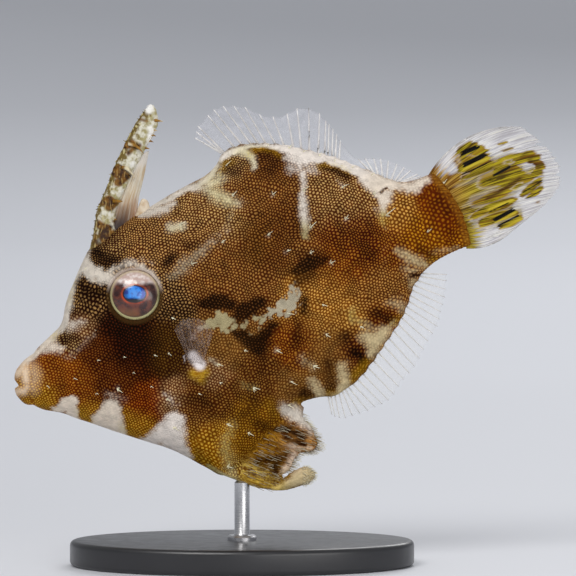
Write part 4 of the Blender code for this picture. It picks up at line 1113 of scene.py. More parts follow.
def makeTufts(hide):
    chance = random.Random(tuftShape["seed"])
    at = vertexArray(hide.data) / mm
    out = vertexArray(hide.data, "normal")
    px, py = seenAt(at)
    unwrap = KDTree(len(hideRings) * bodyShape["around"])
    for ring, row in enumerate(hideRings):
        for column, point in enumerate(row):
            unwrap.insert(point, ring * bodyShape["around"] + column)
    unwrap.balance()
    meshes, flatSpots, tones = [], [], []

    def grow(root, lean, bend, length, thick, tone):
        points = tuftShape["points"]
        radii = [thick + (tuftShape["tip"] - thick) * step / (points - 1) for step in range(points)]
        mesh = strand(hairPath(root, lean, bend, length, points), radii, 4)
        nearest = unwrap.find(root)[1]
        u = (nearest % bodyShape["around"]) / bodyShape["around"]
        v = hidePlaces[nearest // bodyShape["around"]]
        for vert in mesh.vertices:
            reach = min((vert.co / mm - root).length / length, 1.0)
            turn = (vert.index % 4) / 4
            flatSpots.append((u + tuftShape["patch"] * (turn - 0.5), v + tuftShape["patch"] * (reach - 0.5)))
            tones.append(tone * (0.55 + 0.45 * reach))
        meshes.append(mesh)

    for side in (-1, 1):
        own = np.nonzero(at[:, 1] * side > 0.2)[0]
        for spotX, spotY, size in tuftSpots:
            nearest = own[np.argmin(np.hypot(px[own] - spotX, py[own] - spotY))]
            root, normal = Vector(at[nearest]), Vector(out[nearest])
            heading = 0.75 - 1.2 * smoothStep(220, 330, spotY) + chance.uniform(-0.3, 0.3)
            for hair in range(chance.randint(*tuftShape["hairs"])):
                turn = heading + (chance.uniform(-1.2, 1.2) if hair else 0.0)
                flat = Vector((math.cos(turn), 0, math.sin(turn)))
                lean = (normal * 0.55 + flat * chance.uniform(0.7, 1.0)).normalized()
                bend = (flat + normal * 0.1 + Vector((0.2, 0, chance.uniform(-0.3, 0.3)))).normalized()
                length = chance.uniform(*tuftShape["length"]) * (0.25 + 0.65 * size) * (0.5 if hair else 1.1)
                thick = tuftShape["thick"] * (0.7 if hair else 1.2) * (0.6 + 0.4 * size)
                grow(root - normal * 0.08, lean, bend, length, thick, 1.0)
    rear, thin = Vector(fringeShape["rear"]), fringeShape["thick"]
    for number in range(fringeShape["margin"]):
        v = 0.05 + 0.72 * (number + chance.random()) / fringeShape["margin"]
        x, z = shareRows(flapShape["margin"], v)
        foot = Vector((x - 0.25, chance.uniform(-0.18, 0.18), z))
        stray = Vector((chance.uniform(-0.2, 0.2), chance.uniform(-0.3, 0.3), chance.uniform(-0.35, 0.25)))
        length = chance.uniform(*fringeShape["length"])
        grow(foot, (rear + stray).normalized(), rear, length, thin, chance.uniform(0.3, 0.75))
    flank = (flapStreak(at[:, 0], at[:, 2]) > 0.6) & (np.abs(out[:, 1]) > 0.6)
    end = (at[:, 0] > 9.4) & (at[:, 2] < 15.8) & (at[:, 2] > 11.0)
    for name, where, heading in (("flat", flank, rear), ("hook", end, Vector((0.4, 0, 0)))):
        hairs, places = fringeShape[name], list(np.nonzero(where)[0])
        for nearest in chance.sample(places, min(hairs["count"], len(places))):
            root, normal = Vector(at[nearest]), Vector(out[nearest])
            stray = Vector((0, 0, chance.uniform(-hairs["stray"], hairs["stray"])))
            lean = (heading + normal * hairs["out"] + stray).normalized()
            length = chance.uniform(*hairs["length"])
            grow(root, lean, rear, length, thin, chance.uniform(*hairs["tone"]))
    tufts = newObject("skin_tufts", joined(meshes))
    addLayer(tufts.data, "tone", "FLOAT", tones)
    layer = tufts.data.uv_layers.new(name="OFBake")
    corners = np.empty(len(tufts.data.loops), np.int64)
    tufts.data.loops.foreach_get("vertex_index", corners)
    layer.data.foreach_set("uv", np.array(flatSpots, np.float32)[corners].reshape(-1))
    material, w = newMaterial("skin tufts", Roughness=0.6, Specular_IOR_Level=0.2)
    tone = w.attribute("tone", "Fac")
    colour = w.mix(w.ramp(tone, 0.05, 0.8, kind="LINEAR"), "5c340e", "fbf6d6")
    w.feed(Base_Color=colour)
    return finishPiece(tufts, material, "skin")


makeTufts(hide)

# Eyes: a glossy dome in each socket, painted from its own centre outwards

eyeShape = {
    "radius": 4.32,
    "depth": 2.6,
    "edgeTurn": 76.0,
    "steps": 26,
    "around": 96,
    "back": [(3.9, 0.1), (3.4, -0.5), (0.0, -0.6)],
    "pupilHalf": (1.78, 1.34),
    "highlight": (0.2, 1.75, 0.3),
}


def makeEye(side, name, node):
    profile = []
    for step in range(eyeShape["steps"] + 1):
        turn = math.radians(eyeShape["edgeTurn"]) * step / eyeShape["steps"]
        profile.append((eyeShape["radius"] * math.sin(turn), eyeShape["depth"] * math.cos(turn)))
    bm = spunForm(profile + eyeShape["back"], eyeShape["around"])
    spots = [(-side * vert.co.x / mm, vert.co.y / mm, vert.co.z / mm) for vert in bm.verts]
    bmesh.ops.transform(bm, matrix=eyeMatrix(side), verts=bm.verts[:])
    eye = newObject(name, bm)
    addLayer(eye.data, "iris", "FLOAT_VECTOR", spots)
    return finishPiece(eye, eyeMaterial, "eye", node)


def makeEyeMaterial():
    material, w = newMaterial("wet eye", Roughness=0.2, Coat_Weight=0.5, Coat_Roughness=0.05)
    place = w.attribute("iris", "Vector")
    x, y, _ = w.split("iris", "Vector")
    flat = w.combine(x, y)
    radius = w.vector("LENGTH", flat)
    uneven = w.line(w.noise(place, 0.9), 0.5, -0.25)
    # Iris: maroon below, pale and pinkish over the upper third, where a paler iris carries a painted
    # reflection of the bright surroundings
    glint = w.ramp(w.noise(place, 0.8, 3.0), 0.4, 0.66)
    low = w.mix(glint, "2c0804", "66301c")
    # A painted reflection of the pale floor: lighter orange-brown along the bottom of the iris
    low = w.mix(w.times(w.ramp(y, -1.9, -3.0, 0.0, 0.45), w.ramp(x, 1.6, -0.4)), low, "94602e")
    low = w.mix(w.ramp(radius, 1.3, 2.6, 0.6, 0.0), low, "641a04")
    haze = w.ramp(w.noise(place, 1.6, 3.0), 0.35, 0.7)
    high = w.mix(haze, "c0a49a", "e8dcd6")
    edge = w.plus(w.maths("SUBTRACT", y, w.times(w.maths("ABSOLUTE", x), 0.12)), uneven)
    colour = w.mix(w.ramp(edge, 1.0, 1.9), low, high)
    # Dark line, then the pale olive ring, brightest along the bottom
    edging = w.mix(w.ramp(y, -1.0, 2.0), "4c3616", "b49c8c")
    colour = w.mix(w.ramp(radius, 3.15, 3.5, 0.0, 0.6), colour, edging)
    band = w.times(w.ramp(radius, 3.46, 3.6), w.ramp(radius, 3.92, 3.78))
    colour = w.mix(w.times(band, w.ramp(y, 2.4, -3.0, 0.3, 0.95)), colour, "d6d09a")
    colour = w.mix(w.ramp(radius, 3.84, 4.0, 0.0, 0.7), colour, "3a3010")
    # Pupil: a black oval in a thin orange ring, with a painted blue reflection over all but its lower edge,
    # paler at its centre
    wide, high = eyeShape["pupilHalf"]
    stretched = w.combine(w.maths("DIVIDE", x, wide), w.maths("DIVIDE", y, high))
    oval = w.plus(w.vector("LENGTH", stretched), w.times(uneven, 0.2))
    fire = w.ramp(w.noise(place, 1.1), 0.35, 0.65, 0.25, 0.95)
    colour = w.mix(w.times(w.ramp(oval, 1.3, 1.1), fire), colour, "b8420c")
    colour = w.mix(w.ramp(oval, 1.08, 1.0), colour, "06040a")
    sheen = w.ramp(w.plus(y, w.times(uneven, 0.8)), -0.95, -0.45)
    blue = w.mix(w.ramp(w.noise(place, 1.3), 0.42, 0.6), "0840a8", "2a8ae8")
    blue = w.mix(w.ramp(x, -0.6, -1.5, 0.0, 0.7), blue, "041c50")
    blue = w.mix(w.ramp(oval, 0.75, 0.1, 0.0, 0.3), blue, "8cb0e4")
    colour = w.mix(w.times(w.ramp(oval, 0.98, 0.86), sheen), colour, blue)
    # A painted highlight: a small warm white spot on the upper iris
    spotX, spotY, highlightRadius = eyeShape["highlight"]
    spot = w.vector("DISTANCE", flat, (spotX, spotY, 0.0))
    colour = w.mix(w.ramp(spot, highlightRadius, 0.1), colour, "f4e8d8")
    w.feed(Base_Color=colour)
    w.feed(Normal=w.bump(w.noise(place, 1.2), 0.02 * mm, 0.3))
    return material


eyeMaterial = makeEyeMaterial()
makeEye(-1, "eye_dome_left", "eye_left")
makeEye(1, "eye_dome_right", "eye_right")

# First dorsal spine with its barbs, the web behind it and the buried second spine

spineShape = {
    # front x, front z, rear x, rear z, half width from the root to the tip, in mm
    "rings": [
        (-23.9, 49.4, -19.4, 51.4, 1.2), (-23.5, 50.8, -19.9, 53.0, 1.15), (-23.1, 53.0, -19.8, 54.2, 1.1),
        (-22.7, 55.6, -19.6, 56.0, 1.05), (-21.9, 57.6, -18.9, 57.4, 1.0), (-20.9, 60.0, -18.0, 59.4, 0.95),
        (-20.0, 62.4, -17.0, 61.6, 0.9), (-18.8, 65.0, -15.7, 64.1, 0.85), (-17.3, 68.0, -14.2, 66.7, 0.8),
        (-16.1, 70.0, -13.2, 68.9, 0.65), (-15.1, 71.4, -13.2, 70.7, 0.45), (-14.4, 72.2, -13.8, 72.1, 0.16),
    ],
    "around": 44,
    "steps": 170,
    "knobs": 0.1,
    # rear barbs: root x, root z, length, how far it leans back, how far it hooks down, in mm
    "rearBarbs": [
        (-13.6, 69.7, 1.35, 1.0, 0.15), (-13.75, 68.2, 0.55, 1.0, 0.3), (-14.0, 67.4, 0.6, 1.0, 0.4),
        (-14.4, 66.5, 0.6, 1.0, 0.5), (-15.1, 65.4, 0.75, 1.0, 0.25), (-18.3, 60.4, 0.5, 0.8, 0.6),
        (-20.1, 54.3, 0.6, 1.0, 0.2),
    ],
    # side hooks: root x, root z, how far out, length, how far it hooks down, thickness, in mm
    "sideHooks": [
        (-17.3, 66.0, 0.84, 2.1, 1.1, 0.34), (-18.3, 62.3, 0.9, 1.7, 1.6, 0.34),
        (-19.7, 57.1, 0.94, 1.2, -0.2, 0.32),
    ],
    "frontSpinules": 54,
    "webSpinules": 16,
    "rearApart": 0.28,
    "seed": 4,
}
hookShape = {"steps": 6, "sag": 0.55, "sideways": 0.12, "tip": 0.02, "sunk": 0.4}
webShape = {
    "front": [(-21.0, 51.4), (-19.6, 55.9), (-18.9, 57.7), (-18.0, 59.6), (-16.95, 61.8), (-15.6, 64.5)],
    "rear": [(-16.5, 53.2), (-16.2, 57.2), (-15.7, 59.3), (-15.2, 61.4), (-14.9, 63.0), (-14.5, 65.0)],
    "half": 0.11,
    "grid": (36, 90),
}
secondSpineShape = {
    "rings": [
        (-16.9, 54.3, -14.2, 55.4, 0.85), (-16.45, 55.5, -14.5, 56.5, 0.65), (-16.2, 56.3, -14.6, 56.9, 0.55),
        (-15.9, 57.0, -14.9, 57.3, 0.4), (-15.7, 57.4, -15.4, 57.5, 0.15),
    ],
    "around": 32,
    "steps": 40,
}
# Brown bands and white patches on the spine, as marks in the photograph's pixels
spineBands = {
    "tip": ([(139, 120, 3), (146, 121, 4)], 0.7, 3.0),
    "upper": ([(124, 145, 5), (131, 143, 6), (138, 147, 4), (128, 152, 3)], 0.9, 3.2),
    "middle": ([(113, 170, 5), (119, 172, 8), (126, 177, 5), (118, 182, 5)], 0.95, 3.2),
    "lower": ([(104, 203, 5), (110, 199, 6), (110, 207, 6), (119, 201, 3)], 0.95, 3.2),
    "foot": ([(100, 224, 4), (106, 230, 7), (104, 237, 6), (112, 236, 6)], 1.0, 3.5),
    "footFront": ([(95, 236, 5), (98, 247, 7)], 0.7, 4.0),
    "root": ([(115, 223, 3), (121, 228, 5)], 0.95, 3.0),
}
spineWhites = {
    "tip": ([(152, 100, 5), (150, 109, 6)], 1.0, 6),
    "rear": ([(152, 128, 4), (150, 138, 4), (146, 146, 3)], 0.95, 4),
    "middle": ([(134, 162, 3), (131, 168, 3)], 0.8, 4),
    "lower": ([(121, 193, 3)], 0.7, 4),
    "foot": ([(112, 215, 3)], 0.6, 4),
}


def hook(root, lean, down, length, thick, side):  # a barb that leaves the spine backwards and bends down
    root, lean = Vector(root), Vector(lean).normalized()
    path, radii = [root - lean * hookShape["sunk"]], [thick]
    for step in range(hookShape["steps"]):
        t = (step + 1) / hookShape["steps"]
        bend = Vector((0, side * hookShape["sideways"] * t, -down * length * hookShape["sag"] * t * t))
        path.append(root + lean * length * t + bend)
        radii.append(thick * (1 - t) ** 0.8 + hookShape["tip"])
    return strand(path, radii, 8)


def makeSpine():
    bm = smoothLoft(spineShape["rings"], spineShape["around"], spineShape["steps"], 0.85)
    thing = newObject("barbed_spine", bm)
    at = vertexArray(thing.data) / mm
    out = vertexArray(thing.data, "normal")
    knobs = wander(at, 1.1, 1.0, 5.0)[:, 0] + 0.6 * wander(at, 2.6, 1.0, 8.0)[:, 1]
    at += out * (spineShape["knobs"] * knobs)[:, None]
    setPlaces(thing.data, at)
    draw = random.Random(spineShape["seed"])
    pieces, barbs = [thing.data.copy()], []
    dropObject(thing)
    for x, z, length, back, down in spineShape["rearBarbs"]:
        for side in (-1, 1):
            vary = draw.uniform(0.85, 1.1) if side > 0 else 1.0
            aside = side * spineShape["rearApart"]
            thick = 0.27 if length > 1.2 else 0.17
            barbs.append(hook((x, aside, z), (back, aside, -0.05), down, length * vary, thick, side))
    for x, z, across, length, down, thick in spineShape["sideHooks"]:
        for side in (-1, 1):
            barbs.append(hook((x, side * across, z), (1.0, side * 0.3, -0.12), down, length, thick, side))
    for number in range(spineShape["frontSpinules"]):
        place = 0.1 + 0.86 * number / spineShape["frontSpinules"]
        frontX, frontZ, _, _, half = shareRows(spineShape["rings"], place)
        side = draw.choice((-1, 1)) * draw.uniform(0.0, 0.75)
        root = (frontX + 0.12 + 0.5 * side * side, side * half, frontZ + draw.uniform(-0.2, 0.2))
        lean = (-1.0, side * 1.2, draw.uniform(-0.7, 0.6))
        pieces.append(hook(root, lean, draw.uniform(-0.4, 0.5), draw.uniform(0.22, 0.5), 0.1, 0))
    for number in range(spineShape["webSpinules"]):
        place = draw.uniform(0.25, 0.9)
        _, _, rearX, rearZ, half = shareRows(spineShape["rings"], place)
        side = draw.choice((-1, 1))
        root = (rearX - draw.uniform(0.3, 1.1), side * half * 0.75, rearZ)
        pieces.append(hook(root, (0.5, side * 1.0, -0.6), 0.5, draw.uniform(0.25, 0.45), 0.09, side))
    spine = newObject("barbed_spine", joined(pieces))
    paintSpine(spine.data)
    finishPiece(spine, boneMaterial, "spine", "first_dorsal_spine")
    finishPiece(newObject("spine_barbs", joined(barbs)), hornMaterial, "spine", "first_dorsal_spine")


def paintSpine(mesh):
    at = vertexArray(mesh) / mm
    drift = wander(at, 0.5, 0.5, 31.0)
    px = photoScale["zeroX"] + (at[:, 0] + drift[:, 0]) / photoScale["mmPerPixel"]
    py = photoScale["zeroY"] - (at[:, 2] + drift[:, 2]) / photoScale["mmPerPixel"]
    brown = markLayer(px, py, spineBands)
    white = markLayer(px, py, spineWhites)
    rows = np.array(spineShape["rings"])
    front = np.interp(at[:, 2], rows[:, 1], rows[:, 0])
    across = (at[:, 0] - front) / (np.interp(at[:, 2], rows[:, 3], rows[:, 2]) - front + 0.2)
    addChannels(mesh, "bands", brown, white, np.clip(across, 0, 1))


def makeBoneMaterial():
    material, w = newMaterial("banded bone", Roughness=0.5, Specular_IOR_Level=0.25)
    brown, white, across = w.split("bands")
    place = w.placeInMm()
    speck = w.group(dotGroup, Vector=place, Spacing=0.55, Wander=1.4)[0]
    blotch = w.noise(place, 1.1, 3.0)
    front = w.mix(w.ramp(speck, 0.35, 0.75), "6a5622", "bcb07c")
    rear = w.mix(w.ramp(blotch, 0.38, 0.6), "a49a6c", "d6d2c0")
    ground = w.mix(w.ramp(w.plus(across, w.line(blotch, 1.4, -0.7)), 0.1, 0.5), front, rear)
    dark = w.mix(w.ramp(w.noise(place, 1.2), 0.32, 0.7), "341a04", "7e5414")
    dark = w.mix(w.times(w.ramp(speck, 0.6, 0.85), 0.6), dark, "a88c50")
    amount = w.plus(brown, w.line(blotch, 0.5, -0.25))
    colour = w.mix(w.ramp(amount, 0.3, 0.8), ground, dark)
    colour = w.mix(w.ramp(w.plus(white, w.line(blotch, 0.6, -0.3)), 0.2, 0.85), colour, "eceae4")
    w.feed(Base_Color=colour)
    height = w.plus(w.noise(place, 2.4, 3.0), w.times(speck, 0.4))
    w.feed(Normal=w.bump(height, 0.12 * mm, 0.9))
    return material


def webPlace(u, v):
    front, rear = shareRows(webShape["front"], v), shareRows(webShape["rear"], v)
    fold = 0.16 * math.sin(v * 9 + u * 5) * u * (1 - v)
    return (front[0] + (rear[0] - front[0]) * u, fold, front[1] + (rear[1] - front[1]) * u)


def makeHornMaterial():
    material, w = newMaterial("horny barbs", Roughness=0.4, Coat_Weight=0.15)
    place = w.placeInMm()
    shade = w.mix(w.ramp(w.noise(place, 0.35, 1.0), 0.5, 0.66), "9c6e18", "e2d6b4")
    w.feed(Base_Color=w.mix(w.ramp(w.noise(place, 1.6), 0.4, 0.7, 0.0, 0.6), shade, "5c3a0c"))
    return material


def makeSpineWeb():
    web = sheetObject("spine_web", *webShape["grid"], webPlace, lambda u, v: webShape["half"] * (1 - 0.4 * u))
    material, w = newMaterial("web behind the spine", Roughness=0.38, Alpha=0.9, Coat_Weight=0.2)
    u, v, _ = w.split("spread", "Vector")
    streaks = w.noise(w.combine(w.times(u, 7.0), w.times(v, 1.6)), 1.4, 3.0)
    colour = w.mix(w.ramp(streaks, 0.4, 0.68), "d0c6b2", "b69c74")
    low = w.ramp(v, 0.42, 0.0)
    colour = w.mix(w.times(low, w.ramp(streaks, 0.2, 0.55)), colour, "94602c")
    colour = w.mix(w.times(w.ramp(v, 0.24, 0.06), w.ramp(u, 1.0, 0.4)), colour, "2c1404")
    colour = w.mix(w.times(w.ramp(v, 0.66, 0.9), 0.6), colour, "d8d4d0")
    w.feed(Base_Color=colour)
    w.feed(Normal=w.bump(streaks, 0.15 * mm, 0.8))
    w.feed(Alpha=w.ramp(u, 0.55, 1.0, 0.97, 0.72))
    return finishPiece(web, material, "fin", "spine_membrane")


def makeSecondSpine():
    shape = secondSpineShape
    bump = newObject("second_spine", smoothLoft(shape["rings"], shape["around"], shape["steps"], 0.9))
    material, w = newMaterial("buried spine skin", Roughness=0.5, Coat_Weight=0.15)
    place = w.placeInMm()
    blotch = w.noise(place, 0.8, 3.0)
    w.feed(Base_Color=w.mix(w.ramp(blotch, 0.35, 0.7), "d6c6ae", "b08f64"))
    w.feed(Normal=w.bump(w.group(grainGroup, Vector=place, Scale=5.0)[0], 0.06 * mm))
    return finishPiece(bump, material, "spine", "second_dorsal_spine")


boneMaterial, hornMaterial = makeBoneMaterial(), makeHornMaterial()
makeSpine()
makeSpineWeb()
makeSecondSpine()

# Soft fins: a thin web carried by rays, each from a line of roots out to a line of tips

dorsalShape = {
    "base": [
        (-3.2, 64.6), (-2.6, 64.8), (0.85, 65.7), (3.6, 65.7), (5.8, 65.7), (7.5, 65.3), (9.6, 64.85),
        (11.4, 64.4), (13.75, 63.8), (15.7, 63.3), (19.6, 61.9), (20.9, 61.3), (22.3, 60.7), (23.8, 60.1),
        (24.6, 59.8),
    ],
    "tips": [
        (-7.4, -0.5, 67.0), (-6.6, -0.9, 69.2), (-3.8, -1.2, 71.7), (0.0, -1.0, 71.9), (3.4, -0.4, 70.5),
        (6.2, 0.2, 70.5), (9.0, 0.4, 71.8), (11.6, 0.2, 71.2), (13.9, 1.2, 68.8), (15.8, 3.6, 66.0),
        (17.8, 4.8, 63.8), (20.0, 4.4, 63.8), (22.3, 3.2, 63.6), (25.4, 1.6, 62.4), (28.0, 0.3, 61.0),
    ],
    "rays": 29, "root": 0.21, "tip": 0.09, "forks": [], "notch": 0.05, "webHalf": 0.07,
    "grid": (174, 16), "seed": 7,
    # how far along the fin each ray stands
    "spots": [
        0.0, 0.036, 0.06, 0.107, 0.13, 0.16, 0.19, 0.224, 0.27, 0.321, 0.378, 0.418, 0.467, 0.516, 0.546,
        0.562, 0.583, 0.605, 0.628, 0.73, 0.766, 0.807, 0.841, 0.873, 0.903, 0.929, 0.953, 0.98, 1.0,
    ],
}
analShape = {
    "base": [
        (13.4, 26.9), (15.2, 27.5), (16.8, 28.4), (19.3, 31.0), (21.9, 34.8), (24.3, 38.4), (25.6, 41.2),
        (26.5, 43.9), (27.9, 45.8),
    ],
    "tips": [
        (14.1, 0.2, 23.6), (15.6, 0.6, 23.0), (18.2, 1.0, 23.6), (21.0, 0.9, 24.8), (23.4, 0.2, 26.2),
        (25.2, -0.6, 29.0), (27.2, -1.1, 31.4), (28.8, -0.9, 34.6), (30.5, -0.3, 37.4), (31.3, 0.4, 40.0),
        (31.9, 0.7, 42.8), (32.1, 0.5, 45.6),
    ],
    "rays": 27, "root": 0.15, "tip": 0.06, "forks": [], "notch": 0.05, "webHalf": 0.06,
    "grid": (156, 14), "seed": 8,
}
tailShape = {
    "tips": [
        (40.8, 0.0, 68.7), (43.8, 0.3, 68.6), (46.4, 0.5, 66.7), (48.4, 0.6, 64.7), (49.8, 0.5, 62.5),
        (49.9, 0.3, 60.4), (49.2, 0.0, 58.6), (47.9, -0.3, 57.1), (46.3, -0.5, 55.6), (44.4, -0.5, 54.1),
        (42.4, -0.3, 52.6),
    ],
    "sunk": 0.8, "bow": (1.7, -0.9), "curl": 1.2,
    "rays": 12, "root": 0.2, "tip": 0.045, "forks": [0.34, 0.58, 0.78], "notch": 0.02, "webHalf": 0.09,
    "grid": (220, 110), "seed": 10,
    "tears": [(0.235, 0.012, 0.07), (0.455, 0.012, 0.07), (0.36, 0.008, 0.04), (0.62, 0.008, 0.025)],
}
pectoralShape = {
    "base": [(-7.9, 5.9, 32.0), (-7.0, 6.2, 32.1), (-6.1, 6.1, 31.9)],
    "tips": [(-10.4, 7.6, 37.4), (-9.3, 8.3, 38.9), (-7.4, 8.7, 39.3), (-5.4, 8.5, 38.6), (-4.3, 8.1, 37.0)],
    "rays": 11, "root": 0.09, "tip": 0.03, "forks": [0.6], "notch": 0.04, "webHalf": 0.05,
    "grid": (80, 14), "seed": 9,
}


def fanPlace(shape):
    curl, bow = shape.get("curl", 2.0), shape.get("bow", (0.0, 0.0))

    def place(u, v):
        root, tip = shareRows(shape["base"], u), shareRows(shape["tips"], u)
        rise = bow[0] + (bow[1] - bow[0]) * u
        arch = 4 * rise * v * (1 - v) / math.hypot(tip[0] - root[0], tip[2] - root[-1])
        x = root[0] + (tip[0] - root[0]) * v - (tip[2] - root[-1]) * arch
        z = root[-1] + (tip[2] - root[-1]) * v + (tip[0] - root[0]) * arch
        return (x, tip[1] * v ** curl, z)

    return place


def tailRoots():  # the rounded rear edge of the tail stalk, drawn a little into it
    row = bodyShape["rings"][-1]
    top, bottom = Vector((row[0], row[1])), Vector((row[2], row[3]))
    outward = Vector((top.y - bottom.y, bottom.x - top.x)).normalized()
    points = []
    for number in range(9):
        height = 1 - 2 * number / 8
        middle = top.lerp(bottom, (1 - height) / 2)
        bulge = bodyShape["tailBulge"] * (1 - height * height)
        points.append(tuple(middle + outward * (bulge - tailShape["sunk"])))
    return points


def pectoralPlace(side):
    def place(u, v):
        root, tip = shareRows(pectoralShape["base"], u), shareRows(pectoralShape["tips"], u)
        x, y, z = [r + (t - r) * v for r, t in zip(root, tip)]
        return (x, side * (y + 0.5 * math.sin(math.pi * v) * math.sin(math.pi * u)), z)

    return place


rayShape = {"steps": 6, "sides": 5, "thinner": 0.9, "parting": 0.23, "overlap": 0.01, "ends": (-0.02, 0.012)}


def raySpots(shape):
    return shape.get("spots", [number / (shape["rays"] - 1) for number in range(shape["rays"])])


def torn(shape, u):
    reach = 1.0
    for middle, width, depth in shape.get("tears", []):
        reach -= depth * math.exp(-(((u - middle) / width) ** 2))
    return reach


def finWeb(name, shape, place):
    spots = raySpots(shape)

    def point(u, v):
        offset = abs((float(np.interp(u, spots, range(len(spots)))) + 0.5) % 1.0 - 0.5)
        return place(u, v * (torn(shape, u) - shape["notch"] * offset * 2 * v))

    return sheetObject(name, *shape["grid"], point, lambda u, v: shape["webHalf"] * (1 - 0.5 * v))


def finRays(name, shape, place):
    draw = random.Random(shape["seed"])
    meshes, spots = [], []
    gap = 1.0 / (shape["rays"] - 1)

    def grow(u, start, spreadNow, level):  # one stretch of a ray up to its next fork
        forks = shape["forks"]
        end = forks[level] if level < len(forks) else torn(shape, u) + draw.uniform(*rayShape["ends"])
        drift = spreadNow if level else 0.0
        path, radii = [], []
        for step in range(rayShape["steps"] + 1):
            v = start + (end - start) * step / rayShape["steps"]
            ease = (v - start) / max(end - start, 1e-6)
            path.append(place(min(max(u + drift * ease, 0.0), 1.0), v))
            spots.extend([(u + drift * ease, v)] * rayShape["sides"])
            thick = shape["root"] + (shape["tip"] - shape["root"]) * v
            radii.append(thick * rayShape["thinner"] ** level)
        meshes.append(strand(path, radii, rayShape["sides"]))
        if level < len(forks):
            step = gap * rayShape["parting"] / (2 ** level)
            for turn in (-1, 1):
                grow(u + drift, end - rayShape["overlap"], turn * step, level + 1)

    for spot in raySpots(shape):
        grow(spot, 0.0, 0.0, 0)
    rays = newObject(name, joined(meshes))
    addLayer(rays.data, "spread", "FLOAT_VECTOR", [(u, v, 0.0) for u, v in spots])
    return rays


def makeFin(webName, raysName, shape, place, webMaterial, rayMaterial, node, paint=None):
    pieces = ((finWeb(webName, shape, place), webMaterial), (finRays(raysName, shape, place), rayMaterial))
    for piece, material in pieces:
        if paint:
            paint(piece.data)
        finishPiece(piece, material, "fin", node)


tailOlive = {
    "field": ([(484, 181, 9), (500, 178, 11), (516, 174, 9)], 0.9, 5.0),
    "fieldLow": ([(474, 202, 7), (492, 197, 9), (508, 191, 6)], 0.88, 5.0),
    "fieldTop": ([(464, 160, 8), (482, 164, 8), (502, 164, 6)], 0.8, 4.5),
    "top": ([(461, 152, 6), (470, 148, 7), (480, 152, 7), (487, 160, 4)], 1.0, 2.2),
    "topLow": ([(462, 168, 6), (474, 166, 8), (488, 164, 5)], 1.0, 2.2),
    "topBand": ([(463, 178, 3), (478, 173, 3), (492, 168, 3)], 1.0, 2.0),
    "far": ([(498, 145, 2), (505, 143, 2)], 0.85, 1.6),
    "farTwo": ([(503, 151, 2), (512, 148, 2)], 0.8, 1.6),
    "farBand": ([(500, 160, 2.5), (510, 157, 3), (520, 155, 3)], 1.0, 1.8),
    "ringTop": ([(518, 160, 6), (528, 156, 6), (537, 160, 6), (539, 168, 6), (536, 176, 6)], 1.0, 2.6),
    "ringLow": ([(515, 168, 6), (519, 176, 6), (528, 179, 6.5), (537, 180, 5.5)], 1.0, 2.6),
    "zone": ([(497, 172, 6), (506, 172, 8), (514, 170, 6), (510, 180, 6), (500, 184, 5)], 1.0, 2.2),
    "maroonBand": ([(486, 199, 2), (496, 194, 3), (508, 187, 3), (520, 179, 3)], 1.0, 2.0),
    "striped": ([(522, 195, 3), (530, 188, 5), (539, 181, 4)], 1.0, 2.0),
    "stripedLow": ([(527, 198, 2), (535, 193, 4), (541, 188, 3)], 0.95, 2.0),
    "bit": ([(535, 203, 2), (539, 202, 2)], 0.7, 1.6),
    "low": ([(474, 217, 4), (482, 212, 5), (492, 208, 6), (504, 204, 6), (514, 200, 4)], 1.0, 2.2),
    "lowEdge": ([(482, 223, 5), (492, 219, 6), (504, 215, 6), (516, 212, 4)], 1.0, 2.2),
    "lowGold": ([(500, 227, 3), (510, 224, 4), (520, 218, 4)], 0.95, 2.0),
}
tailYellow = {
    "top": ([(462, 170, 1.7), (488, 158, 1.7)], 1.0, 1.2),
    "farBand": ([(501, 161, 1), (519, 156, 1)], 0.7, 1.4),
    "low": ([(488, 210, 1.5), (512, 200, 1.5)], 1.0, 1.2),
    "lowTwo": ([(495, 223, 1.2), (515, 213, 1.2)], 1.0, 1.1),
    "gold": ([(502, 229, 1.6), (521, 219, 1.8)], 0.8, 1.5),
}
tailMaroon = {
    "band": ([(463, 178, 2), (478, 173, 2), (492, 168, 2)], 0.7, 1.8),
    "zone": ([(500, 174, 4), (512, 168, 3)], 0.6, 3.0),
    "long": ([(486, 199, 2), (497, 193.5, 2.4), (520, 178.5, 2.2)], 1.0, 1.6),
    "ring": ([(531, 160, 3), (537, 168, 3)], 0.75, 2.0),
    "striped": ([(524, 196, 1.4), (541, 185, 1.4)], 0.8, 1.4),
}
tailBlack = {
    "one": ([(461, 154, 2.5), (477, 147, 2.5)], 1.0, 1.2),
    "two": ([(464, 165, 2.6), (484, 155.5, 2.6)], 1.0, 1.2),
    "three": ([(463, 174.2, 1.0), (487, 163.4, 1.0)], 0.9, 1.0),
    "four": ([(493, 176, 1.6), (510, 167, 1.6)], 0.95, 1.2),
    "five": ([(500, 180, 0.8), (514, 173, 0.8)], 0.7, 1.0),
    "six": ([(490, 211.6, 0.9), (508, 203, 0.9)], 0.9, 1.0),
    "seven": ([(495, 219.6, 2.2), (513, 209.8, 2.2)], 1.0, 1.2),
    "eight": ([(499, 225.4, 1.2), (518, 215.6, 1.2)], 0.95, 1.0),
    "nine": ([(522, 193, 1.0), (542, 181, 1.0)], 0.8, 1.0),
    "ten": ([(526, 199, 0.9), (542, 190, 0.9)], 0.8, 1.0),
}
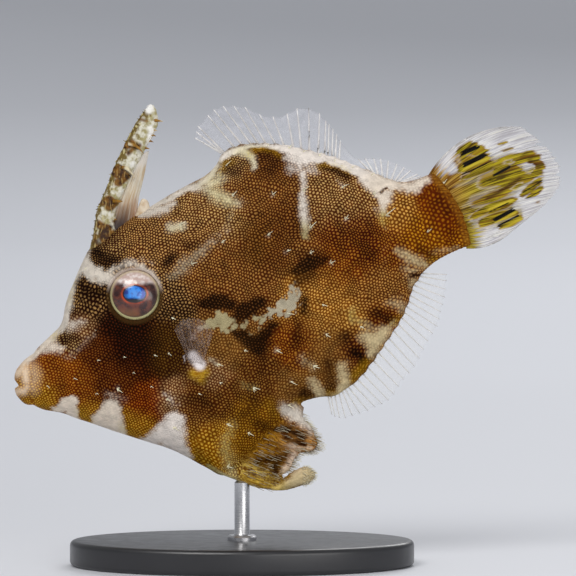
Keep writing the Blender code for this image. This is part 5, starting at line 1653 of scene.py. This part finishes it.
tailWhite = {
    "spot": ([(525, 168, 3.6), (527, 167.5, 3.4)], 1.0, 1.4),
    "upper": ([(456, 186, 1.4), (474, 181, 1.8), (493, 174, 1.0)], 0.3, 1.8),
    "streak": ([(463, 207, 1.4), (486, 193, 1.8), (507, 182, 1.0), (517, 175, 0.6)], 0.3, 1.8),
    "line": ([(512, 193, 1.0), (526, 185, 1.2), (540, 176, 0.8)], 0.95, 1.2),
    "streakLow": ([(470, 222, 1.2), (488, 213, 1.2)], 0.4, 1.8),
    "gap": ([(517, 206, 5), (530, 206, 6)], 1.0, 2.0),
}
tailCream = {
    "low": ([(474, 218, 4), (480, 226, 8), (488, 224, 5)], 0.8, 5.0),
}
tailGold = {  # the streaky gold between the olive marks, browner towards the stalk
    "middle": ([(448, 182, 8), (464, 188, 17), (486, 190, 18), (504, 183, 14), (520, 176, 11),
        (532, 178, 9)], 1.0, 5.0),
    "upper": ([(462, 160, 8), (476, 160, 12), (492, 168, 8), (508, 160, 5)], 0.9, 5.0),
    "low": ([(466, 204, 10), (482, 209, 10), (500, 213, 11), (513, 211, 8)], 1.0, 5.0),
}


def paintTail(mesh):
    at = vertexArray(mesh) / mm
    spread = np.empty(len(at) * 3, np.float32)
    mesh.attributes["spread"].data.foreach_get("vector", spread)
    u = spread.reshape(-1, 3)[:, 0].astype(float)
    slide = wander(np.stack([u * 75, at[:, 0] * 0.12, at[:, 2] * 0.12], 1), 1.0, 3.2, 3.0)[:, 0]
    slide += wander(np.stack([u * 190, u * 0, u * 0], 1), 1.0, 3.4, 13.0)[:, 1]
    px, py = seenAt(at)
    x, z = at[:, 0], at[:, 2]
    px, py = px + slide * 0.88, py - slide * 0.42
    layers = (tailOlive, tailBlack, tailWhite, tailYellow, tailMaroon, tailCream, tailGold)
    olive, black, white, yellow, maroon, cream, gold = (markLayer(px, py, marks) for marks in layers)
    addChannels(mesh, "pigment", olive * (1 - white), black, white)
    brown = np.maximum(smoothStep(3.6, 0.0, beyondStalk(x, z) + slide * 0.25), gold)
    tan = smoothStep(478, 448, px)
    addChannels(mesh, "stain", yellow, maroon, brown)
    addChannels(mesh, "cream", cream, tan, tan * 0)


def makeTailMaterial(name, ground, alpha):
    material, w = newMaterial(name, Roughness=0.5, Specular_IOR_Level=0.1)
    olive, black, white = w.split("pigment")
    yellow, maroon, brown = w.split("stain")
    cream, tan, _ = w.split("cream")
    u, v, _ = w.split("spread", "Vector")
    streakPlace = w.combine(w.times(u, 90.0), w.times(v, 3.0))
    streaks = w.noise(streakPlace, 1.0)
    pale = w.mix(w.ramp(streaks, 0.35, 0.65), *ground)
    creamy = w.mix(w.ramp(streaks, 0.4, 0.6), "94784e", "d8c8a4")
    pale = w.mix(w.times(cream, 0.8), pale, creamy)
    ink = w.mix(w.ramp(streaks, 0.38, 0.62), "483602", "b09e1c")
    ink = w.mix(w.ramp(w.noise(streakPlace, 0.4), 0.45, 0.65, 0.0, 0.6), ink, "7c4c08")
    ink = w.mix(w.ramp(olive, 0.85, 0.4), ink, "94680c")
    ink = w.mix(w.times(maroon, 0.85), ink, "3c1606")
    ink = w.mix(w.times(yellow, 0.9), ink, "ccb634")
    amount = w.ramp(w.plus(olive, w.line(streaks, 0.5, -0.25)), 0.22, 0.78)
    colour = w.mix(amount, pale, ink)
    root = w.mix(w.ramp(streaks, 0.36, 0.64), "5e4a02", "b8a430")
    root = w.mix(tan, root, w.mix(w.ramp(streaks, 0.36, 0.64), "6e4204", "bc9440"))
    rootAmount = w.ramp(w.plus(brown, w.line(streaks, 1.0, -0.5)), 0.0, 0.55)
    rootAmount = w.times(rootAmount, w.line(white, -0.7, 1.0))
    colour = w.mix(w.times(rootAmount, w.maths("SUBTRACT", 1.0, amount)), colour, root)
    colour = w.mix(w.ramp(black, 0.3, 0.7), colour, "0c0804")
    w.feed(Base_Color=colour)
    w.feed(Normal=w.bump(streaks, 0.08 * mm, 0.6))
    solid = w.maths("MAXIMUM", amount, w.maths("MAXIMUM", rootAmount, cream))
    clear = w.ramp(streaks, 0.3, 0.7, *alpha)
    clear = w.times(clear, w.ramp(v, 0.8, 1.0, 1.0, 0.6))
    w.feed(Alpha=w.maths("MAXIMUM", w.times(solid, 0.96), clear))
    return material


def makeClearMaterial(name, colour, alpha, shadeScale=40.0):
    material, w = newMaterial(name, Roughness=0.35, Specular_IOR_Level=0.3)
    u, v, _ = w.split("spread", "Vector")
    cloud = w.noise(w.combine(w.times(u, shadeScale), w.times(v, 5.0)), 1.0)
    w.feed(Base_Color=w.mix(cloud, *colour), Alpha=w.ramp(cloud, 0.3, 0.7, *alpha))
    w.feed(Normal=w.bump(cloud, 0.05 * mm, 0.5))
    return material


tailShape["base"] = tailRoots()
clearWeb = makeClearMaterial("clear fin web", ("bcbcc4", "e0e0e6"), (0.1, 0.2))
fainterWeb = makeClearMaterial("fainter fin web", ("dcdcdc", "f2f2f0"), (0.04, 0.09))
paleRay = makeClearMaterial("pale fin ray", ("dcd8d4", "f6f4f2"), (0.85, 1.0))
glassRay = makeClearMaterial("glassy fin ray", ("d4d0c8", "f4f2ee"), (0.5, 0.75))
breastWeb = makeClearMaterial("breast fin web", ("8e7668", "b4a094"), (0.05, 0.15), 9.0)
breastRay = makeClearMaterial("breast fin ray", ("a89488", "ccbcb0"), (0.05, 0.12), 9.0)
tailWeb = makeTailMaterial("painted tail web", ("c4c0c4", "ecebea"), (0.5, 0.85))
tailRay = makeTailMaterial("painted tail rays", ("c4c0bc", "f6f4f0"), (0.75, 0.95))

makeFin("dorsal_web", "dorsal_rays", dorsalShape, fanPlace(dorsalShape), clearWeb, paleRay, "soft_dorsal_fin")
makeFin("anal_web", "anal_rays", analShape, fanPlace(analShape), fainterWeb, glassRay, "anal_fin")
for side, end in ((-1, "_left"), (1, "_right")):
    names = ("breast_web" + end, "breast_rays" + end)
    makeFin(*names, pectoralShape, pectoralPlace(side), breastWeb, breastRay, "pectoral_fin" + end)
makeFin("tail_web", "tail_rays", tailShape, fanPlace(tailShape), tailWeb, tailRay, "tail_fin", paintTail)

# Stand: an oval black base and a brushed rod under the belly

standShape = {
    "half": (27.0, 17.0),
    "height": 4.0,
    "bevel": 0.8,
    "baseSteps": 128,
    "rodSteps": 64,
    "rodRadius": 1.2,
    "rodSunk": 0.2,
    "rodTop": 13.3,
    "collarRadius": 2.3,
    "collarHeight": 0.7,
}


def makeBase():
    bm = bmesh.new()
    size = Matrix.Diagonal((*(value * mm for value in standShape["half"]), 1.0, 1.0))
    bmesh.ops.create_circle(bm, cap_ends=True, segments=standShape["baseSteps"], radius=1.0, matrix=size)
    grown = bmesh.ops.extrude_face_region(bm, geom=bm.faces[:])["geom"]
    top = [item for item in grown if isinstance(item, bmesh.types.BMVert)]
    bmesh.ops.translate(bm, vec=(0, 0, standShape["height"] * mm), verts=top)
    rims = [edge for edge in bm.edges if abs(edge.verts[0].co.z - edge.verts[1].co.z) < 1e-6]
    soft = standShape["bevel"] * mm
    bmesh.ops.bevel(bm, geom=rims, offset=soft, affect="EDGES", segments=6, profile=0.5, material=-1)
    facesOut(bm)
    base = newObject("stand_oval_base", bm)
    material, w = newMaterial("satin black base", Roughness=0.34, Coat_Weight=0.25, Coat_Roughness=0.2)
    place = w.placeInMm()
    soft = w.noise(place, 0.12, 3.0)
    w.feed(Base_Color=w.mix(soft, "1c1c1e", "28282b"))
    w.feed(Roughness=w.ramp(w.noise(place, 0.4, 4.0), 0.3, 0.7, 0.28, 0.42, "LINEAR"))
    w.feed(Normal=w.bump(w.noise(place, 6.0), 0.01 * mm, 0.4))
    return finishPiece(base, material, "stand_base", "stand_base")


def makeRod():
    radius, top = standShape["rodRadius"], standShape["rodTop"]
    foot = standShape["height"] - standShape["rodSunk"]
    collar, lip = standShape["collarRadius"], foot + standShape["collarHeight"]
    profile = [
        (0.0, foot), (collar, foot), (collar, lip), (collar - 0.25, lip + 0.25), (radius + 0.15, lip + 0.3),
        (radius, lip + 0.5), (radius, top - 0.3), (radius - 0.3, top), (0.0, top),
    ]
    rod = newObject("stand_steel_rod", spunForm(profile, standShape["rodSteps"]))
    material, w = newMaterial("brushed steel rod", Metallic=1.0, Roughness=0.28)
    lines = w.noise(w.mapping(w.placeInMm(), (0.6, 0.6, 14.0)), 1.0, 3.0)
    w.feed(Base_Color=w.mix(lines, "b4b4b6", "d2d2d4"))
    w.feed(Roughness=w.ramp(lines, 0.3, 0.7, 0.22, 0.38, "LINEAR"))
    w.feed(Normal=w.bump(lines, 0.01 * mm, 0.5))
    finishPiece(rod, material, "stand_rod", "stand_rod")
    rod.data.set_sharp_from_angle(angle=math.radians(40))


makeBase()
makeRod()

# Studio: pale bowl of a floor, soft lights and the camera at the photograph's side view

studio = {
    # radius and height in metres
    "floorProfile": [
        (0.0, 0.0), (0.3, 0.0), (0.6, 0.006), (0.9, 0.03), (1.2, 0.085), (1.5, 0.18), (1.8, 0.34),
        (2.0, 0.55),
    ],
    "floorSteps": 96,
    "aim": (0.007, 0.0, 0.043),
    # name, place in metres, size, watts, colour
    "lights": [
        ("key", (-0.30, -0.66, 0.72), 0.5, 4.6, (1.0, 0.985, 0.96)),
        ("fill", (0.45, -0.85, 0.10), 0.8, 4.2, (1.0, 0.985, 0.965)),
        ("back", (0.25, 0.80, 0.70), 0.7, 3.5, (1.0, 1.0, 1.0)),
    ],
    "worldTint": "e6e8ec",
    "worldStrength": 0.45,
}


def makeFloor():
    floor = newObject("studio_floor", spunForm(studio["floorProfile"], studio["floorSteps"], 1.0))
    floor.data.shade_smooth()
    material, w = newMaterial("pale studio floor", Roughness=0.6)
    place = w.add("ShaderNodeTexCoord").outputs["Object"]
    w.feed(Base_Color=w.mix(w.noise(place, 3.0), "dcdee4", "e2e4ea"))
    floor.data.materials.append(material)


def makeLights():
    for name, place, size, watts, colour in studio["lights"]:
        data = bpy.data.lights.new(name, "AREA")
        data.shape = "DISK"
        data.size = size
        data.energy = watts
        data.color = colour
        lamp = bpy.data.objects.new(name, data)
        lamp.location = place
        lamp.visible_camera = False
        aim = Vector(studio["aim"]) - Vector(place)
        lamp.rotation_euler = aim.to_track_quat("-Z", "Y").to_euler()
        bpy.context.scene.collection.objects.link(lamp)
    world = bpy.data.worlds.new("studio")
    world.use_nodes = True
    background = world.node_tree.nodes["Background"]
    background.inputs[0].default_value = (*tintOf(studio["worldTint"]), 1.0)
    background.inputs[1].default_value = studio["worldStrength"]
    bpy.context.scene.world = world


def makeCamera():
    x, z = fromPhoto(*photoScale["middle"])
    tilt = math.radians(studioView["elevation"])
    target = Vector((x * mm, 0.0, z * mm))
    back = Vector((0.0, -math.cos(tilt), math.sin(tilt))) * studioView["distance"] * mm
    data = bpy.data.cameras.new("camera")
    data.sensor_width = studioView["sensor"]
    data.lens = studioView["sensor"] * studioView["distance"] / studioView["frameWidth"]
    camera = bpy.data.objects.new("camera", data)
    camera.location = target + back
    camera.rotation_euler = (math.pi / 2 - tilt, 0.0, 0.0)
    bpy.context.scene.collection.objects.link(camera)
    bpy.context.scene.camera = camera
    bpy.context.scene.view_settings.view_transform = "Standard"


makeFloor()
makeLights()
makeCamera()
